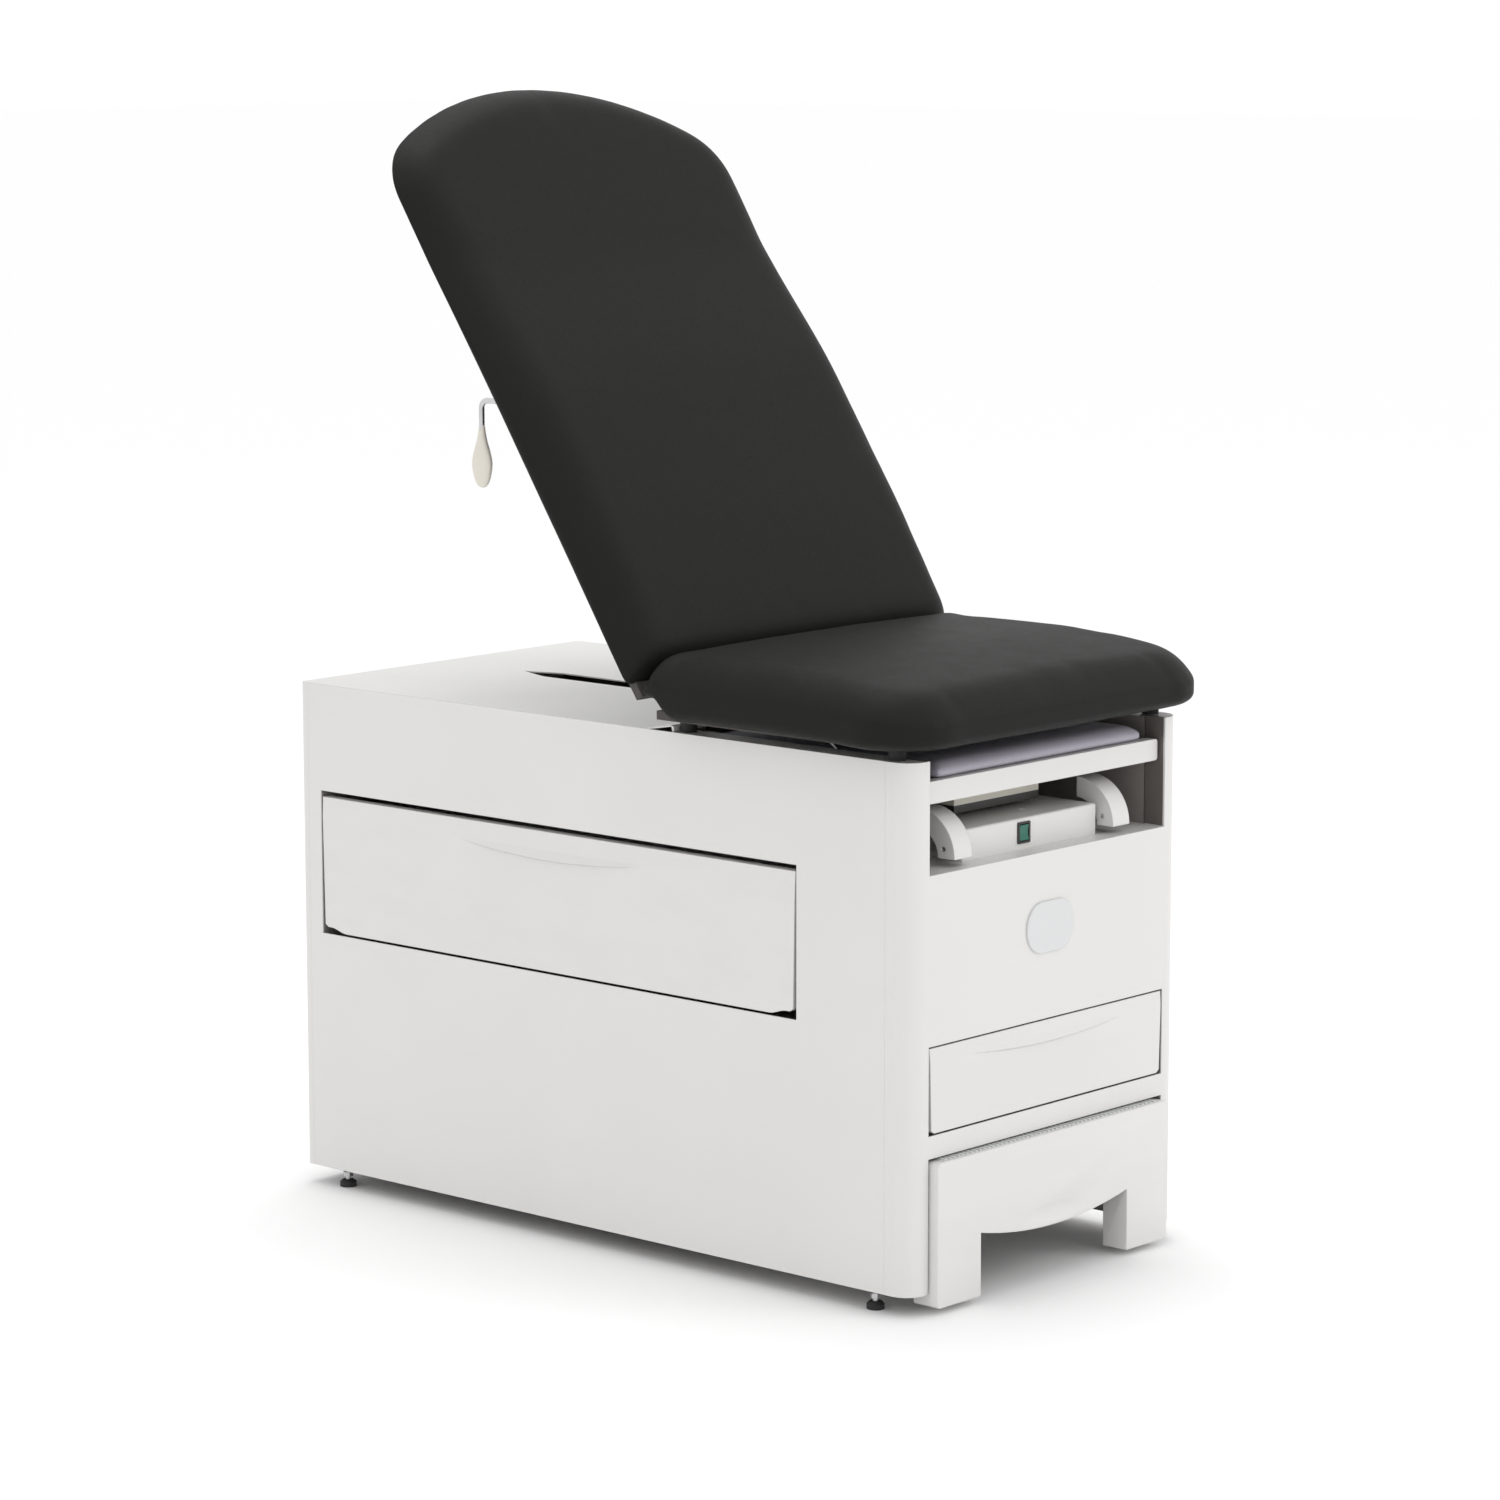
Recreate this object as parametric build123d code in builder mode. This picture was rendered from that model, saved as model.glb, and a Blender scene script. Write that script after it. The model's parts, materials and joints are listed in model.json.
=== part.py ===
from build123d import *
import math
import os

# Medical examination table: a sheet-steel cabinet with drawers, a pull-out step,
# stirrups, a treatment pan and a leg rest, under a padded seat and a gas-sprung back.
# Frame: origin on the floor under the middle of the bounding box, +Z up,
# the foot end faces -Y and the patient's head end +Y.
# "Depth" (d) is the distance behind the cabinet's front plane.

# ---------------------------------------------------------------- driving dimensions
cabinet_width = 577.5
cabinet_depth = 1142.0
cabinet_bottom = 28.0
cabinet_top = 736.0
corner_radius = 30.0
rear_radius = 8.0
front_return = 43.5
rear_return = 15.0
sheet = 2.0
wall_offset = 251.5          # inner walls, measured from the middle to their inner face
opening_half = 251.0         # half width of the openings in the front
seat_overhang = 35.0         # how far the seat reaches past the front plane

recess_floor = 585.5
recess_return = 34.0
front_drawer_low = 240.0
front_drawer_high = 359.0
step_opening_top = 209.5
middle_shelf_top = 366.0
side_opening_front = 196.0
side_opening_rear = 1102.0
side_opening_low = 374.0
side_opening_high = 582.0
lower_bay_depth = 480.0

cushion_width = 676.0
board_thickness = 12.0
board_margin = 18.0          # how far the boards stay inside the cushions
board_rear_gap = 14.0        # from the seat board to the beam behind it
board_lift = 2.0             # how much higher the back board starts than its cushion
cushion_round = 20.0
seat_board_bottom = 757.0
seat_top = 824.0
seat_corner_radius = 95.0
seat_undercut = 12.0         # height of the step under the cushion's rear edge
seat_rear_lean = 9.0         # how far the rear face leans forward up to the top
hinge_depth = 430.0
hinge_height = 771.0
hinge_pin_radius = 5.0
seat_rear_gap = 9.0          # seat cushion's rear face, behind the hinge axis
back_angle = 56.5            # rise of the back above level
back_angle_limit = 60.0
back_start = 17.0            # lower end of the back, measured from the hinge axis
back_length = 958.0          # top of the head end, measured from the hinge axis
back_below = 14.0            # rear face of the back, behind the hinge axis
back_above = 38.0            # front face of the back, before the hinge axis
back_arch_radius = 565.0
back_corner_radius = 110.0
back_nose_start = 45.9       # the lower end is cut back to let the seat pass
back_nose_rise = 14.0
back_nose_end = 57.8

deck_front = 416.0
deck_lip_rise = 9.0
deck_lip_length = 54.0
slot_half = 22.0
deck_slot_start = 570.0
deck_slot_end = 975.0
slot_point = 60.0
shelf_slot_start = 545.0
shelf_slot_end = 755.0

foot_height = 28.0
foot_pad_radius = 12.0
foot_inset = 18.5
foot_front = 75.0
foot_rear = 1078.0
stud_radius = 4.0
bumper_radius = 11.5
bumper_inset = 19.0
bumper_front = 40.0
bumper_rear = 404.0

spring_reach = 400.0         # both spring pivots lie this far from the hinge axis
spring_drop_angle = 72.0     # direction of the lower spring pivot, below level
spring_tuck = 45.0           # upper spring pivot, behind the hinge line of the back
cylinder_radius = 14.0
rod_radius = 5.0
spring_pin_radius = 4.0
spring_pin_end = 2.0         # how far the pins stand out of their cheeks

running_gap = 0.5
bore_clearance = 0.05
board_gap = 0.3

runner_depth = 8.5
runner_height = 30.0
slide_gap = 3.0
ride_gap = 0.3

drawer_reveal = 2.5
drawer_front_thickness = 16.0
drawer_wall = 2.0
grip_rise = 3.0

side_drawer_depth = 240.0    # from the drawer front's inner face to the box's far wall
side_front_low = 377.6
side_front_high = 573.0
side_box_low = 386.0
side_box_high = 552.0
side_slide_z = 462.0
side_grip_half = 175.0
side_grip_top = 546.0
side_grip_sag = 11.0

front_front_low = 242.6
front_front_high = 356.4
front_box_low = 246.0
front_box_high = 342.0
front_box_depth = 422.0
front_slide_z = 295.0
front_grip_half = 110.0
front_grip_top = 339.0
front_grip_sag = 8.0

step_proud = 14.0
step_half = 248.0
step_top = 205.0
step_bottom = 10.0
step_leg_width = 90.0
step_leg_depth = 41.0
step_arch_top = 96.0
step_arch_sag = 18.0
step_depth = 320.0
step_wall = 5.0
step_slide_z = 165.0
rib_pitch = 9.0
rib_width = 4.5
rib_height = 2.5

bar_recess = 10.0
bar_half = 247.0
bar_low = 677.0
bar_high = 706.5
bar_thickness = 16.0
tray_thickness = 4.0
tray_end = 422.0
leg_pad_half = 220.0
leg_pad_thickness = 20.0
leg_slide_z = 688.0

pan_half = 90.0
pan_front = 92.0
pan_depth = 300.0
pan_top = 667.0
pan_bottom = 636.0
pan_wall = 2.0
pan_lip = 7.0

cup_middle = 169.0
cup_width = 36.0
cup_front = 11.0
cup_bottom = 596.5
cup_pin_depth = 30.0
cup_pin_z = 609.0
cup_pin_radius = 3.5
cup_wall = 3.0
cup_rear = 74.0
cup_top = 659.0
arm_width = 20.0
arm_low = 601.0
arm_high = 617.0
arm_end = 470.0
sleeve_wall = 2.5
sleeve_start = 100.0
sleeve_end = 520.0

housing_half = 144.0
housing_front = 34.0
housing_depth = 110.0
housing_top = 628.0
rocker_width = 18.0
rocker_height = 21.0
rocker_rim = 4.0
rocker_x = -15.0
rocker_z = 608.5
rocker_travel_gap = 1.1      # above and below the rocker
rocker_side_gap = 0.3

badge_z = 484.0
badge_width = 100.0
badge_height = 70.0
badge_thickness = 3.0

inlet_x = 190.0
inlet_z = 90.0
inlet_width = 50.0
inlet_height = 28.0

prop_x = -246.0
prop_depth = 183.0
prop_z = 750.0
prop_length = 73.8
prop_angle = 34.9
prop_radius = 2.5
prop_eye_radius = 5.0
prop_pin_radius = 2.0
clip_width = 8.0
clip_half = 6.0
clip_below = 4.0

frame_rail_x = 190.0
frame_rail = 15.0
frame_wall = 2.0
frame_start = 60.0
frame_middle = 505.0
frame_end = 760.0
shaft_along = 485.0
shaft_below = 22.5
shaft_radius = 4.0
lever_x = -306.0
lever_set_back = 36.0        # rod runs this far to the rear before it turns down
lever_drop = 40.0
lever_bend = 11.0
paddle_length = 92.0
paddle_width = 38.0
paddle_top_width = 16.0
paddle_thickness = 13.0
paddle_socket = 12.0         # how far the rod reaches into the paddle
paddle_round = 4.0
tab_reach = 13.0             # the rod's tab, past the upper spring pivot
tab_rise = (5.0, 9.0)
tab_root = (3.0, 2.0)

plate = 6.0                  # thickness of the hinge plates
ear_x = 212.0
eye_radius = 9.0
ear_notch_gap = 3.0
beam_front = 430.0
beam_rear = 454.0
beam_low = 700.0
beam_high = 724.0
knuckle_length = 110.0
knuckle_depth = 6.0

cheek_gap = 8.0              # half the space between the cheeks of a spring bracket
cheek = 4.0
spring_eye_half = 7.5
spring_eye_radius = 8.0
cylinder_start = 22.0
cylinder_length = 385.0
cylinder_wall = 2.0
guide_length = 12.0
rod_length = 350.0
piston_length = 10.0

# ---------------------------------------------------------------- derived places
front_y = seat_overhang - (cabinet_depth + seat_overhang) / 2
half = cabinet_width / 2
side_inner = half - sheet
wall_outer = wall_offset + sheet
cabinet = Plane(origin=(0, front_y, 0))
lean = math.radians(back_angle)
hinge_y = front_y + hinge_depth
back = Plane(
    origin=(0, hinge_y, hinge_height),
    x_dir=(1, 0, 0),
    z_dir=(0, -math.sin(lean), math.cos(lean)),
)
slide_height = runner_height - 2 * sheet - 2 * ride_gap
drop = math.radians(spring_drop_angle)
spring_low_d = hinge_depth + spring_reach * math.cos(drop)
spring_low_z = hinge_height - spring_reach * math.sin(drop)
spring_high_along = math.sqrt(spring_reach**2 - spring_tuck**2)

os.makedirs("parts", exist_ok=True)


# ---------------------------------------------------------------- helpers
def block(x_range, y_range, z_range, mode=Mode.ADD):
    """Add a box between the given limits, in the coordinates of the current workplane."""
    sizes = [high - low for low, high in (x_range, y_range, z_range)]
    middles = [(low + high) / 2 for low, high in (x_range, y_range, z_range)]
    with Locations(tuple(middles)):
        Box(*sizes, mode=mode)


def mirrored_block(x_range, y_range, z_range, mode=Mode.ADD):
    """Add the same box on the right and, mirrored, on the left."""
    block(x_range, y_range, z_range, mode)
    block((-x_range[1], -x_range[0]), y_range, z_range, mode)


def side_plane(x):
    """Plane across the table at x: its x runs to the rear, its y up, its normal to +X."""
    return Plane(origin=(x, front_y, 0), x_dir=(0, 1, 0), z_dir=(1, 0, 0))


def front_plane(depth):
    """Plane parallel to the front: its x runs to +X, its y up, its normal to the front."""
    return Plane(origin=(0, front_y + depth, 0), x_dir=(1, 0, 0), z_dir=(0, -1, 0))


def back_side_plane(x):
    """Plane across the back at x: its x runs up along the back, its y out of the front face."""
    origin = back.from_local_coords((x, 0, 0))
    return Plane(origin=origin, x_dir=back.y_dir, z_dir=(1, 0, 0))


def rounded_front(width, depth, radius):
    """Plan of a panel that starts at the plane's origin and has two rounded front corners."""
    with BuildSketch(mode=Mode.PRIVATE) as outline:
        with Locations((0, depth / 2)):
            Rectangle(width, depth)
        fillet(outline.vertices().group_by(Axis.Y)[0], radius)
    return outline.sketch


def runner_section():
    """Channel of a fixed runner: it starts at its wall, opens away from it, and is centred."""
    with BuildSketch(mode=Mode.PRIVATE) as section:
        with Locations((runner_depth / 2, 0)):
            Rectangle(runner_depth, runner_height)
        with Locations((runner_depth / 2 + sheet, 0)):
            Rectangle(runner_depth, runner_height - 2 * sheet, mode=Mode.SUBTRACT)
    return section.sketch


def wall_frame(depth, z):
    """Plane at the left inner wall: its x points inwards, its y up, its normal to the front."""
    return Plane(origin=(-wall_offset, front_y + depth, z), x_dir=(1, 0, 0), z_dir=(0, -1, 0))


def side_sign(name):
    """Side of the table that a name stands for: -1 for the left, 1 for the right."""
    return -1 if name == "left" else 1


# ---------------------------------------------------------------- cabinet: covers
wrapper_height = cabinet_top - cabinet_bottom
with BuildPart(cabinet) as front_wrapper:
    with BuildSketch(cabinet.offset(cabinet_bottom)):
        add(rounded_front(cabinet_width, front_return, corner_radius))
    extrude(amount=wrapper_height)
    hollow = cabinet.offset(cabinet_bottom).shift_origin((0, front_y + sheet, cabinet_bottom))
    with BuildSketch(hollow):
        add(rounded_front(cabinet_width - 2 * sheet, front_return, corner_radius - sheet))
    extrude(amount=wrapper_height - sheet, mode=Mode.SUBTRACT)
    span = (-opening_half, opening_half)
    through = (-1, front_return + 1)
    block(span, through, (recess_floor, cabinet_top + 1), Mode.SUBTRACT)
    block(span, (-1, sheet + 1), (front_drawer_low, front_drawer_high), Mode.SUBTRACT)
    block(span, (-1, sheet + 1), (cabinet_bottom - 1, step_opening_top), Mode.SUBTRACT)
    mirrored_block(
        (opening_half, opening_half + sheet),
        (sheet / 2, recess_return),
        (recess_floor, cabinet_top - sheet),
    )
front_wrapper.part.label = "front_wrapper"
export_step(front_wrapper.part, "parts/front_wrapper.step")

rear_plane = Plane(origin=(0, front_y + cabinet_depth, cabinet_bottom), x_dir=(-1, 0, 0))
with BuildPart(cabinet) as rear_wrapper:
    with BuildSketch(rear_plane):
        add(rounded_front(cabinet_width, rear_return, rear_radius))
    extrude(amount=wrapper_height)
    with BuildSketch(rear_plane.shift_origin((0, front_y + cabinet_depth - sheet, cabinet_bottom))):
        add(rounded_front(cabinet_width - 2 * sheet, rear_return, rear_radius - sheet))
    extrude(amount=wrapper_height, mode=Mode.SUBTRACT)
    block(
        (inlet_x - inlet_width / 2, inlet_x + inlet_width / 2),
        (cabinet_depth - sheet - 1, cabinet_depth + 1),
        (inlet_z - inlet_height / 2, inlet_z + inlet_height / 2),
        Mode.SUBTRACT,
    )
rear_wrapper.part.label = "rear_wrapper"
export_step(rear_wrapper.part, "parts/rear_wrapper.step")

panel_run = (front_return, cabinet_depth - rear_return)
for name in ("left", "right"):
    with BuildPart(cabinet) as side_panel:
        block((side_inner, half), panel_run, (cabinet_bottom, cabinet_top))
        block((wall_offset, side_inner), (front_return, deck_front - 2), (cabinet_top - sheet, cabinet_top))
        block(
            (wall_outer, side_inner),
            (deck_front + deck_lip_length, cabinet_depth - rear_return),
            (cabinet_top - 2 * sheet, cabinet_top - sheet),
        )
        if name == "left":
            block(
                (side_inner - 1, half + 1),
                (side_opening_front, side_opening_rear),
                (side_opening_low, side_opening_high),
                Mode.SUBTRACT,
            )
            mirror(about=Plane.YZ, mode=Mode.REPLACE)
    side_panel.part.label = f"{name}_side_panel"
    export_step(side_panel.part, f"parts/{name}_side_panel.step")

deck_plane_z = cabinet_top - sheet
with BuildPart(cabinet) as deck:
    with BuildSketch(side_plane(-side_inner)):
        with BuildLine():
            Polyline(
                (cabinet_depth - sheet, deck_plane_z),
                (cabinet_depth - sheet, cabinet_top),
                (deck_front + deck_lip_length, cabinet_top),
                (deck_front + 2 * sheet, cabinet_top + deck_lip_rise),
                (deck_front, cabinet_top + deck_lip_rise - sheet),
                (deck_front, cabinet_top),
                (deck_front + sheet, cabinet_top),
                (deck_front + 2 * sheet, cabinet_top + deck_lip_rise - sheet),
                (deck_front + deck_lip_length, deck_plane_z),
                close=True,
            )
        make_face()
    extrude(amount=2 * side_inner)
    with BuildSketch(cabinet.offset(deck_plane_z - 1)):
        with BuildLine():
            Polyline(
                (-slot_half, deck_slot_start),
                (slot_half, deck_slot_start),
                (slot_half, deck_slot_end - slot_point),
                (0, deck_slot_end),
                (-slot_half, deck_slot_end - slot_point),
                close=True,
            )
        make_face()
    extrude(amount=2 * sheet, mode=Mode.SUBTRACT)
    with BuildSketch(rear_plane.shift_origin((0, front_y + cabinet_depth - sheet, cabinet_bottom))):
        add(rounded_front(2 * side_inner, cabinet_depth - sheet - deck_front, rear_radius - sheet))
    extrude(amount=2 * wrapper_height, mode=Mode.INTERSECT)
    mirrored_block(
        (ear_x - ear_notch_gap, ear_x + plate + ear_notch_gap),
        (deck_front - 1, beam_rear + ear_notch_gap),
        (deck_plane_z - sheet, cabinet_top + deck_lip_rise + sheet),
        Mode.SUBTRACT,
    )
deck.part.label = "deck"
export_step(deck.part, "parts/deck.step")

# ---------------------------------------------------------------- cabinet: shelves and walls
inner_span = (-side_inner, side_inner)
wall_span = (-wall_outer, wall_outer)
panel_end = cabinet_depth - rear_return
for name, top in (("middle_shelf", middle_shelf_top), ("recess_shelf", recess_floor)):
    with BuildPart(cabinet) as shelf:
        block(inner_span, (front_return, panel_end), (top - sheet, top))
        block(wall_span, (sheet, front_return), (top - sheet, top))
        if name == "recess_shelf":
            slot_run = (shelf_slot_start, shelf_slot_end)
            block((-slot_half, slot_half), slot_run, (top - 2 * sheet, top + sheet), Mode.SUBTRACT)
    shelf.part.label = name
    export_step(shelf.part, f"parts/{name}.step")

plates = {
    "lower_shelf": (
        (-wall_offset, wall_offset),
        (sheet, lower_bay_depth),
        (front_drawer_low - 2 * sheet, front_drawer_low - sheet),
    ),
    "front_cross_wall": (
        inner_span,
        (side_opening_front - sheet, side_opening_front),
        (middle_shelf_top, recess_floor - sheet),
    ),
    "rear_cross_wall": (
        inner_span,
        (side_opening_rear, side_opening_rear + sheet),
        (middle_shelf_top, recess_floor - sheet),
    ),
    "drawer_warmer": (
        (-150, 150),
        (80, 380),
        (middle_shelf_top - sheet - 10, middle_shelf_top - sheet),
    ),
}
for name, limits in plates.items():
    with BuildPart(cabinet) as flat_plate:
        block(*limits)
    flat_plate.part.label = name
    export_step(flat_plate.part, f"parts/{name}.step")

wall_pairs = {
    "base_rails": (
        (wall_outer, side_inner),
        (front_return, panel_end),
        (cabinet_bottom, cabinet_bottom + 2 * sheet),
    ),
    "lower_walls": (
        (wall_offset, wall_outer),
        (sheet, lower_bay_depth),
        (cabinet_bottom, middle_shelf_top - sheet),
    ),
    "upper_walls": (
        (wall_offset, wall_outer),
        (recess_return + sheet, panel_end),
        (recess_floor, cabinet_top - sheet),
    ),
}
for name, limits in wall_pairs.items():
    with BuildPart(cabinet) as wall_pair:
        mirrored_block(*limits)
    wall_pair.part.label = name
    export_step(wall_pair.part, f"parts/{name}.step")

# ---------------------------------------------------------------- cabinet: feet and bumpers
foot_x = side_inner - foot_inset
foot_places = [(side * foot_x, depth) for side in (-1, 1) for depth in (foot_front, foot_rear)]
pad_height = 10.0
with BuildPart(cabinet) as foot_pads:
    with Locations([(x, d, pad_height / 2) for x, d in foot_places]):
        Cylinder(foot_pad_radius, pad_height)
    chamfer(foot_pads.edges().group_by(Axis.Z)[-1], 3)
foot_pads.part.label = "foot_pads"
export_step(foot_pads.part, "parts/foot_pads.step")

nut_low = 15.0
nut_height = 6.5
with BuildPart(cabinet) as foot_studs:
    with BuildSketch(cabinet.offset(pad_height)):
        with Locations(foot_places):
            Circle(stud_radius)
    extrude(amount=foot_height - pad_height)
    with BuildSketch(cabinet.offset(nut_low)):
        with Locations(foot_places):
            RegularPolygon(radius=7.5, side_count=6)
    extrude(amount=nut_height)
foot_studs.part.label = "foot_studs"
export_step(foot_studs.part, "parts/foot_studs.step")

bumper_x = half - bumper_inset
bumper_places = [(side * bumper_x, depth) for side in (-1, 1) for depth in (bumper_front, bumper_rear)]
bumper_height = seat_board_bottom - board_gap - cabinet_top
with BuildPart(cabinet) as seat_bumpers:
    with BuildSketch(cabinet.offset(cabinet_top)):
        with Locations(bumper_places):
            Circle(bumper_radius)
    extrude(amount=bumper_height)
    chamfer(seat_bumpers.edges().group_by(Axis.Z)[-1], 1.5)
seat_bumpers.part.label = "seat_bumpers"
export_step(seat_bumpers.part, "parts/seat_bumpers.step")

# ---------------------------------------------------------------- cabinet: front details
with BuildPart() as front_badge:
    with BuildSketch(front_plane(0)):
        with Locations((0, badge_z)):
            RectangleRounded(badge_width, badge_height, badge_height * 0.47)
    extrude(amount=badge_thickness)
    fillet(front_badge.faces().sort_by(Axis.Y)[0].edges(), 1.5)
front_badge.part.label = "front_badge"
export_step(front_badge.part, "parts/front_badge.step")

rocker_opening = (rocker_width + 2 * rocker_side_gap, rocker_height + 2 * rocker_travel_gap)
bezel_outer = (rocker_width + 2 * rocker_rim, rocker_height + 2 * rocker_rim)
bezel_body_depth = 18.0
bezel_body = (bezel_outer[0] - 3, bezel_outer[1] - 3)
with BuildPart(cabinet) as switch_housing:
    block(
        (-housing_half, housing_half),
        (housing_front, housing_front + housing_depth),
        (recess_floor, housing_top),
    )
    fillet(switch_housing.edges().filter_by(Axis.X).group_by(Axis.Z)[-1], 4)
    fillet(switch_housing.edges().filter_by(Axis.Z), 4)
    with BuildSketch(front_plane(housing_front)):
        with Locations((rocker_x, rocker_z)):
            Rectangle(*bezel_body)
    extrude(amount=-bezel_body_depth, mode=Mode.SUBTRACT)
    with Locations((40, housing_front + 45, housing_top)):
        CounterSinkHole(radius=2.2, counter_sink_radius=4.5, depth=12)
switch_housing.part.label = "switch_housing"
export_step(switch_housing.part, "parts/switch_housing.step")

bezel_proud = 2.0
with BuildPart() as switch_bezel:
    with BuildSketch(front_plane(housing_front - bezel_proud)):
        with Locations((rocker_x, rocker_z)):
            RectangleRounded(*bezel_outer, 1.5)
    extrude(amount=-bezel_proud)
    with BuildSketch(front_plane(housing_front)):
        with Locations((rocker_x, rocker_z)):
            Rectangle(*bezel_body)
    extrude(amount=-bezel_body_depth)
    with BuildSketch(front_plane(housing_front - bezel_proud)):
        with Locations((rocker_x, rocker_z)):
            Rectangle(*rocker_opening)
    extrude(amount=-bezel_body_depth + 1, mode=Mode.SUBTRACT)
switch_bezel.part.label = "switch_bezel"
export_step(switch_bezel.part, "parts/switch_bezel.step")

rocker_pivot_d = housing_front + 6.0
rocker_swell = 13.0
with BuildPart() as rocker_switch:
    with BuildSketch(side_plane(rocker_x - rocker_width / 2)):
        with BuildLine():
            upper = (rocker_pivot_d - 8.5, rocker_z + rocker_height / 2)
            lower = (rocker_pivot_d - 8.5, rocker_z - rocker_height / 2)
            ThreePointArc(upper, (rocker_pivot_d - 7.0, rocker_z), lower)
            Line(lower, (rocker_pivot_d, rocker_z - rocker_height / 2 + 2))
            ThreePointArc(
                (rocker_pivot_d, rocker_z - rocker_height / 2 + 2),
                (rocker_pivot_d + 4, rocker_z),
                (rocker_pivot_d, rocker_z + rocker_height / 2 - 2),
            )
            Line((rocker_pivot_d, rocker_z + rocker_height / 2 - 2), upper)
        make_face()
    extrude(amount=rocker_width)
rocker_switch.part.label = "rocker_switch"
export_step(rocker_switch.part, "parts/rocker_switch.step")

flange_margin = 7.0
with BuildPart(cabinet) as power_inlet:
    block(
        (inlet_x - inlet_width / 2 + 0.2, inlet_x + inlet_width / 2 - 0.2),
        (cabinet_depth - 26, cabinet_depth),
        (inlet_z - inlet_height / 2 + 0.2, inlet_z + inlet_height / 2 - 0.2),
    )
    block(
        (inlet_x - inlet_width / 2 - flange_margin, inlet_x + inlet_width / 2 + flange_margin),
        (cabinet_depth - 2 * sheet, cabinet_depth - sheet),
        (inlet_z - inlet_height / 2 - flange_margin, inlet_z + inlet_height / 2 + flange_margin),
    )
    block(
        (inlet_x - 12, inlet_x + 12),
        (cabinet_depth - 18, cabinet_depth + 1),
        (inlet_z - 8, inlet_z + 8),
        Mode.SUBTRACT,
    )
    with Locations([(inlet_x + offset, cabinet_depth - 13, inlet_z) for offset in (-7, 0, 7)]):
        Box(2, 12, 5)
power_inlet.part.label = "power_inlet"
export_step(power_inlet.part, "parts/power_inlet.step")

# ---------------------------------------------------------------- runners on the cabinet
runners = {
    "front_drawer_runners": (drawer_front_thickness + 2, lower_bay_depth, front_slide_z),
    "step_runners": (step_leg_depth + 2, lower_bay_depth, step_slide_z),
    "leg_rest_runners": (recess_return + sheet, tray_end + 2, leg_slide_z),
}
for name, (start, end, z) in runners.items():
    with BuildPart() as runner_pair:
        with BuildSketch(wall_frame(start, z)):
            add(runner_section())
        extrude(amount=start - end)
        mirror(about=Plane.YZ)
    runner_pair.part.label = name
    export_step(runner_pair.part, f"parts/{name}.step")

side_runner_length = side_drawer_depth
side_runner_x = -half + drawer_front_thickness + 2
side_middle_d = (side_opening_front + side_opening_rear) / 2
side_mirror = Plane(origin=(0, front_y + side_middle_d, 0), z_dir=(0, 1, 0))
with BuildPart() as side_drawer_runners:
    front_wall = Plane(
        origin=(side_runner_x, front_y + side_opening_front, side_slide_z),
        x_dir=(0, 1, 0),
        z_dir=(1, 0, 0),
    )
    with BuildSketch(front_wall):
        add(runner_section())
    extrude(amount=side_runner_length)
    mirror(about=side_mirror)
side_drawer_runners.part.label = "side_drawer_runners"
export_step(side_drawer_runners.part, "parts/side_drawer_runners.step")

# ---------------------------------------------------------------- side drawer
side_face = -half
grip_arc_low = side_grip_top - side_grip_sag
with BuildPart(cabinet) as side_drawer_front:
    block(
        (side_face, side_face + drawer_front_thickness),
        (side_opening_front + drawer_reveal, side_opening_rear - drawer_reveal),
        (side_front_low, side_front_high),
    )
    chamfer(side_drawer_front.edges().filter_by(Axis.Y).group_by(Axis.Z)[-1].sort_by(Axis.X)[0], 4)
    with BuildSketch(side_plane(side_face)):
        with BuildLine():
            left_tip = (side_middle_d - side_grip_half, side_grip_top)
            right_tip = (side_middle_d + side_grip_half, side_grip_top)
            Line(left_tip, right_tip)
            ThreePointArc(right_tip, (side_middle_d, grip_arc_low), left_tip)
        make_face()
    extrude(amount=-grip_rise)
side_drawer_front.part.label = "side_drawer_front"
export_step(side_drawer_front.part, "parts/side_drawer_front.step")

side_box_front = side_opening_front + 14
side_box_rear = side_opening_rear - 14
side_box_x = (side_face + drawer_front_thickness, side_face + drawer_front_thickness + side_drawer_depth)
with BuildPart(cabinet) as side_drawer_box:
    block(side_box_x, (side_box_front, side_box_rear), (side_box_low, side_box_high))
    block(
        (side_box_x[0] + drawer_wall, side_box_x[1] - drawer_wall),
        (side_box_front + drawer_wall, side_box_rear - drawer_wall),
        (side_box_low + drawer_wall, side_box_high + 1),
        Mode.SUBTRACT,
    )
side_drawer_box.part.label = "side_drawer_box"
export_step(side_drawer_box.part, "parts/side_drawer_box.step")

slide_z = (side_slide_z - slide_height / 2, side_slide_z + slide_height / 2)
with BuildPart(cabinet) as side_drawer_slides:
    block(
        (side_box_x[0] + 1, side_box_x[1] - 1),
        (side_opening_front + slide_gap, side_box_front),
        slide_z,
    )
    mirror(about=side_mirror)
side_drawer_slides.part.label = "side_drawer_slides"
export_step(side_drawer_slides.part, "parts/side_drawer_slides.step")

# ---------------------------------------------------------------- front drawer
with BuildPart(cabinet) as front_drawer_front:
    block(
        (-opening_half + drawer_reveal, opening_half - drawer_reveal),
        (0, drawer_front_thickness),
        (front_front_low, front_front_high),
    )
    chamfer(front_drawer_front.edges().filter_by(Axis.X).group_by(Axis.Z)[-1].sort_by(Axis.Y)[0], 4)
    with BuildSketch(front_plane(0)):
        with BuildLine():
            left_tip = (-front_grip_half, front_grip_top)
            right_tip = (front_grip_half, front_grip_top)
            Line(left_tip, right_tip)
            ThreePointArc(right_tip, (0, front_grip_top - front_grip_sag), left_tip)
        make_face()
    extrude(amount=grip_rise)
front_drawer_front.part.label = "front_drawer_front"
export_step(front_drawer_front.part, "parts/front_drawer_front.step")

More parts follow.
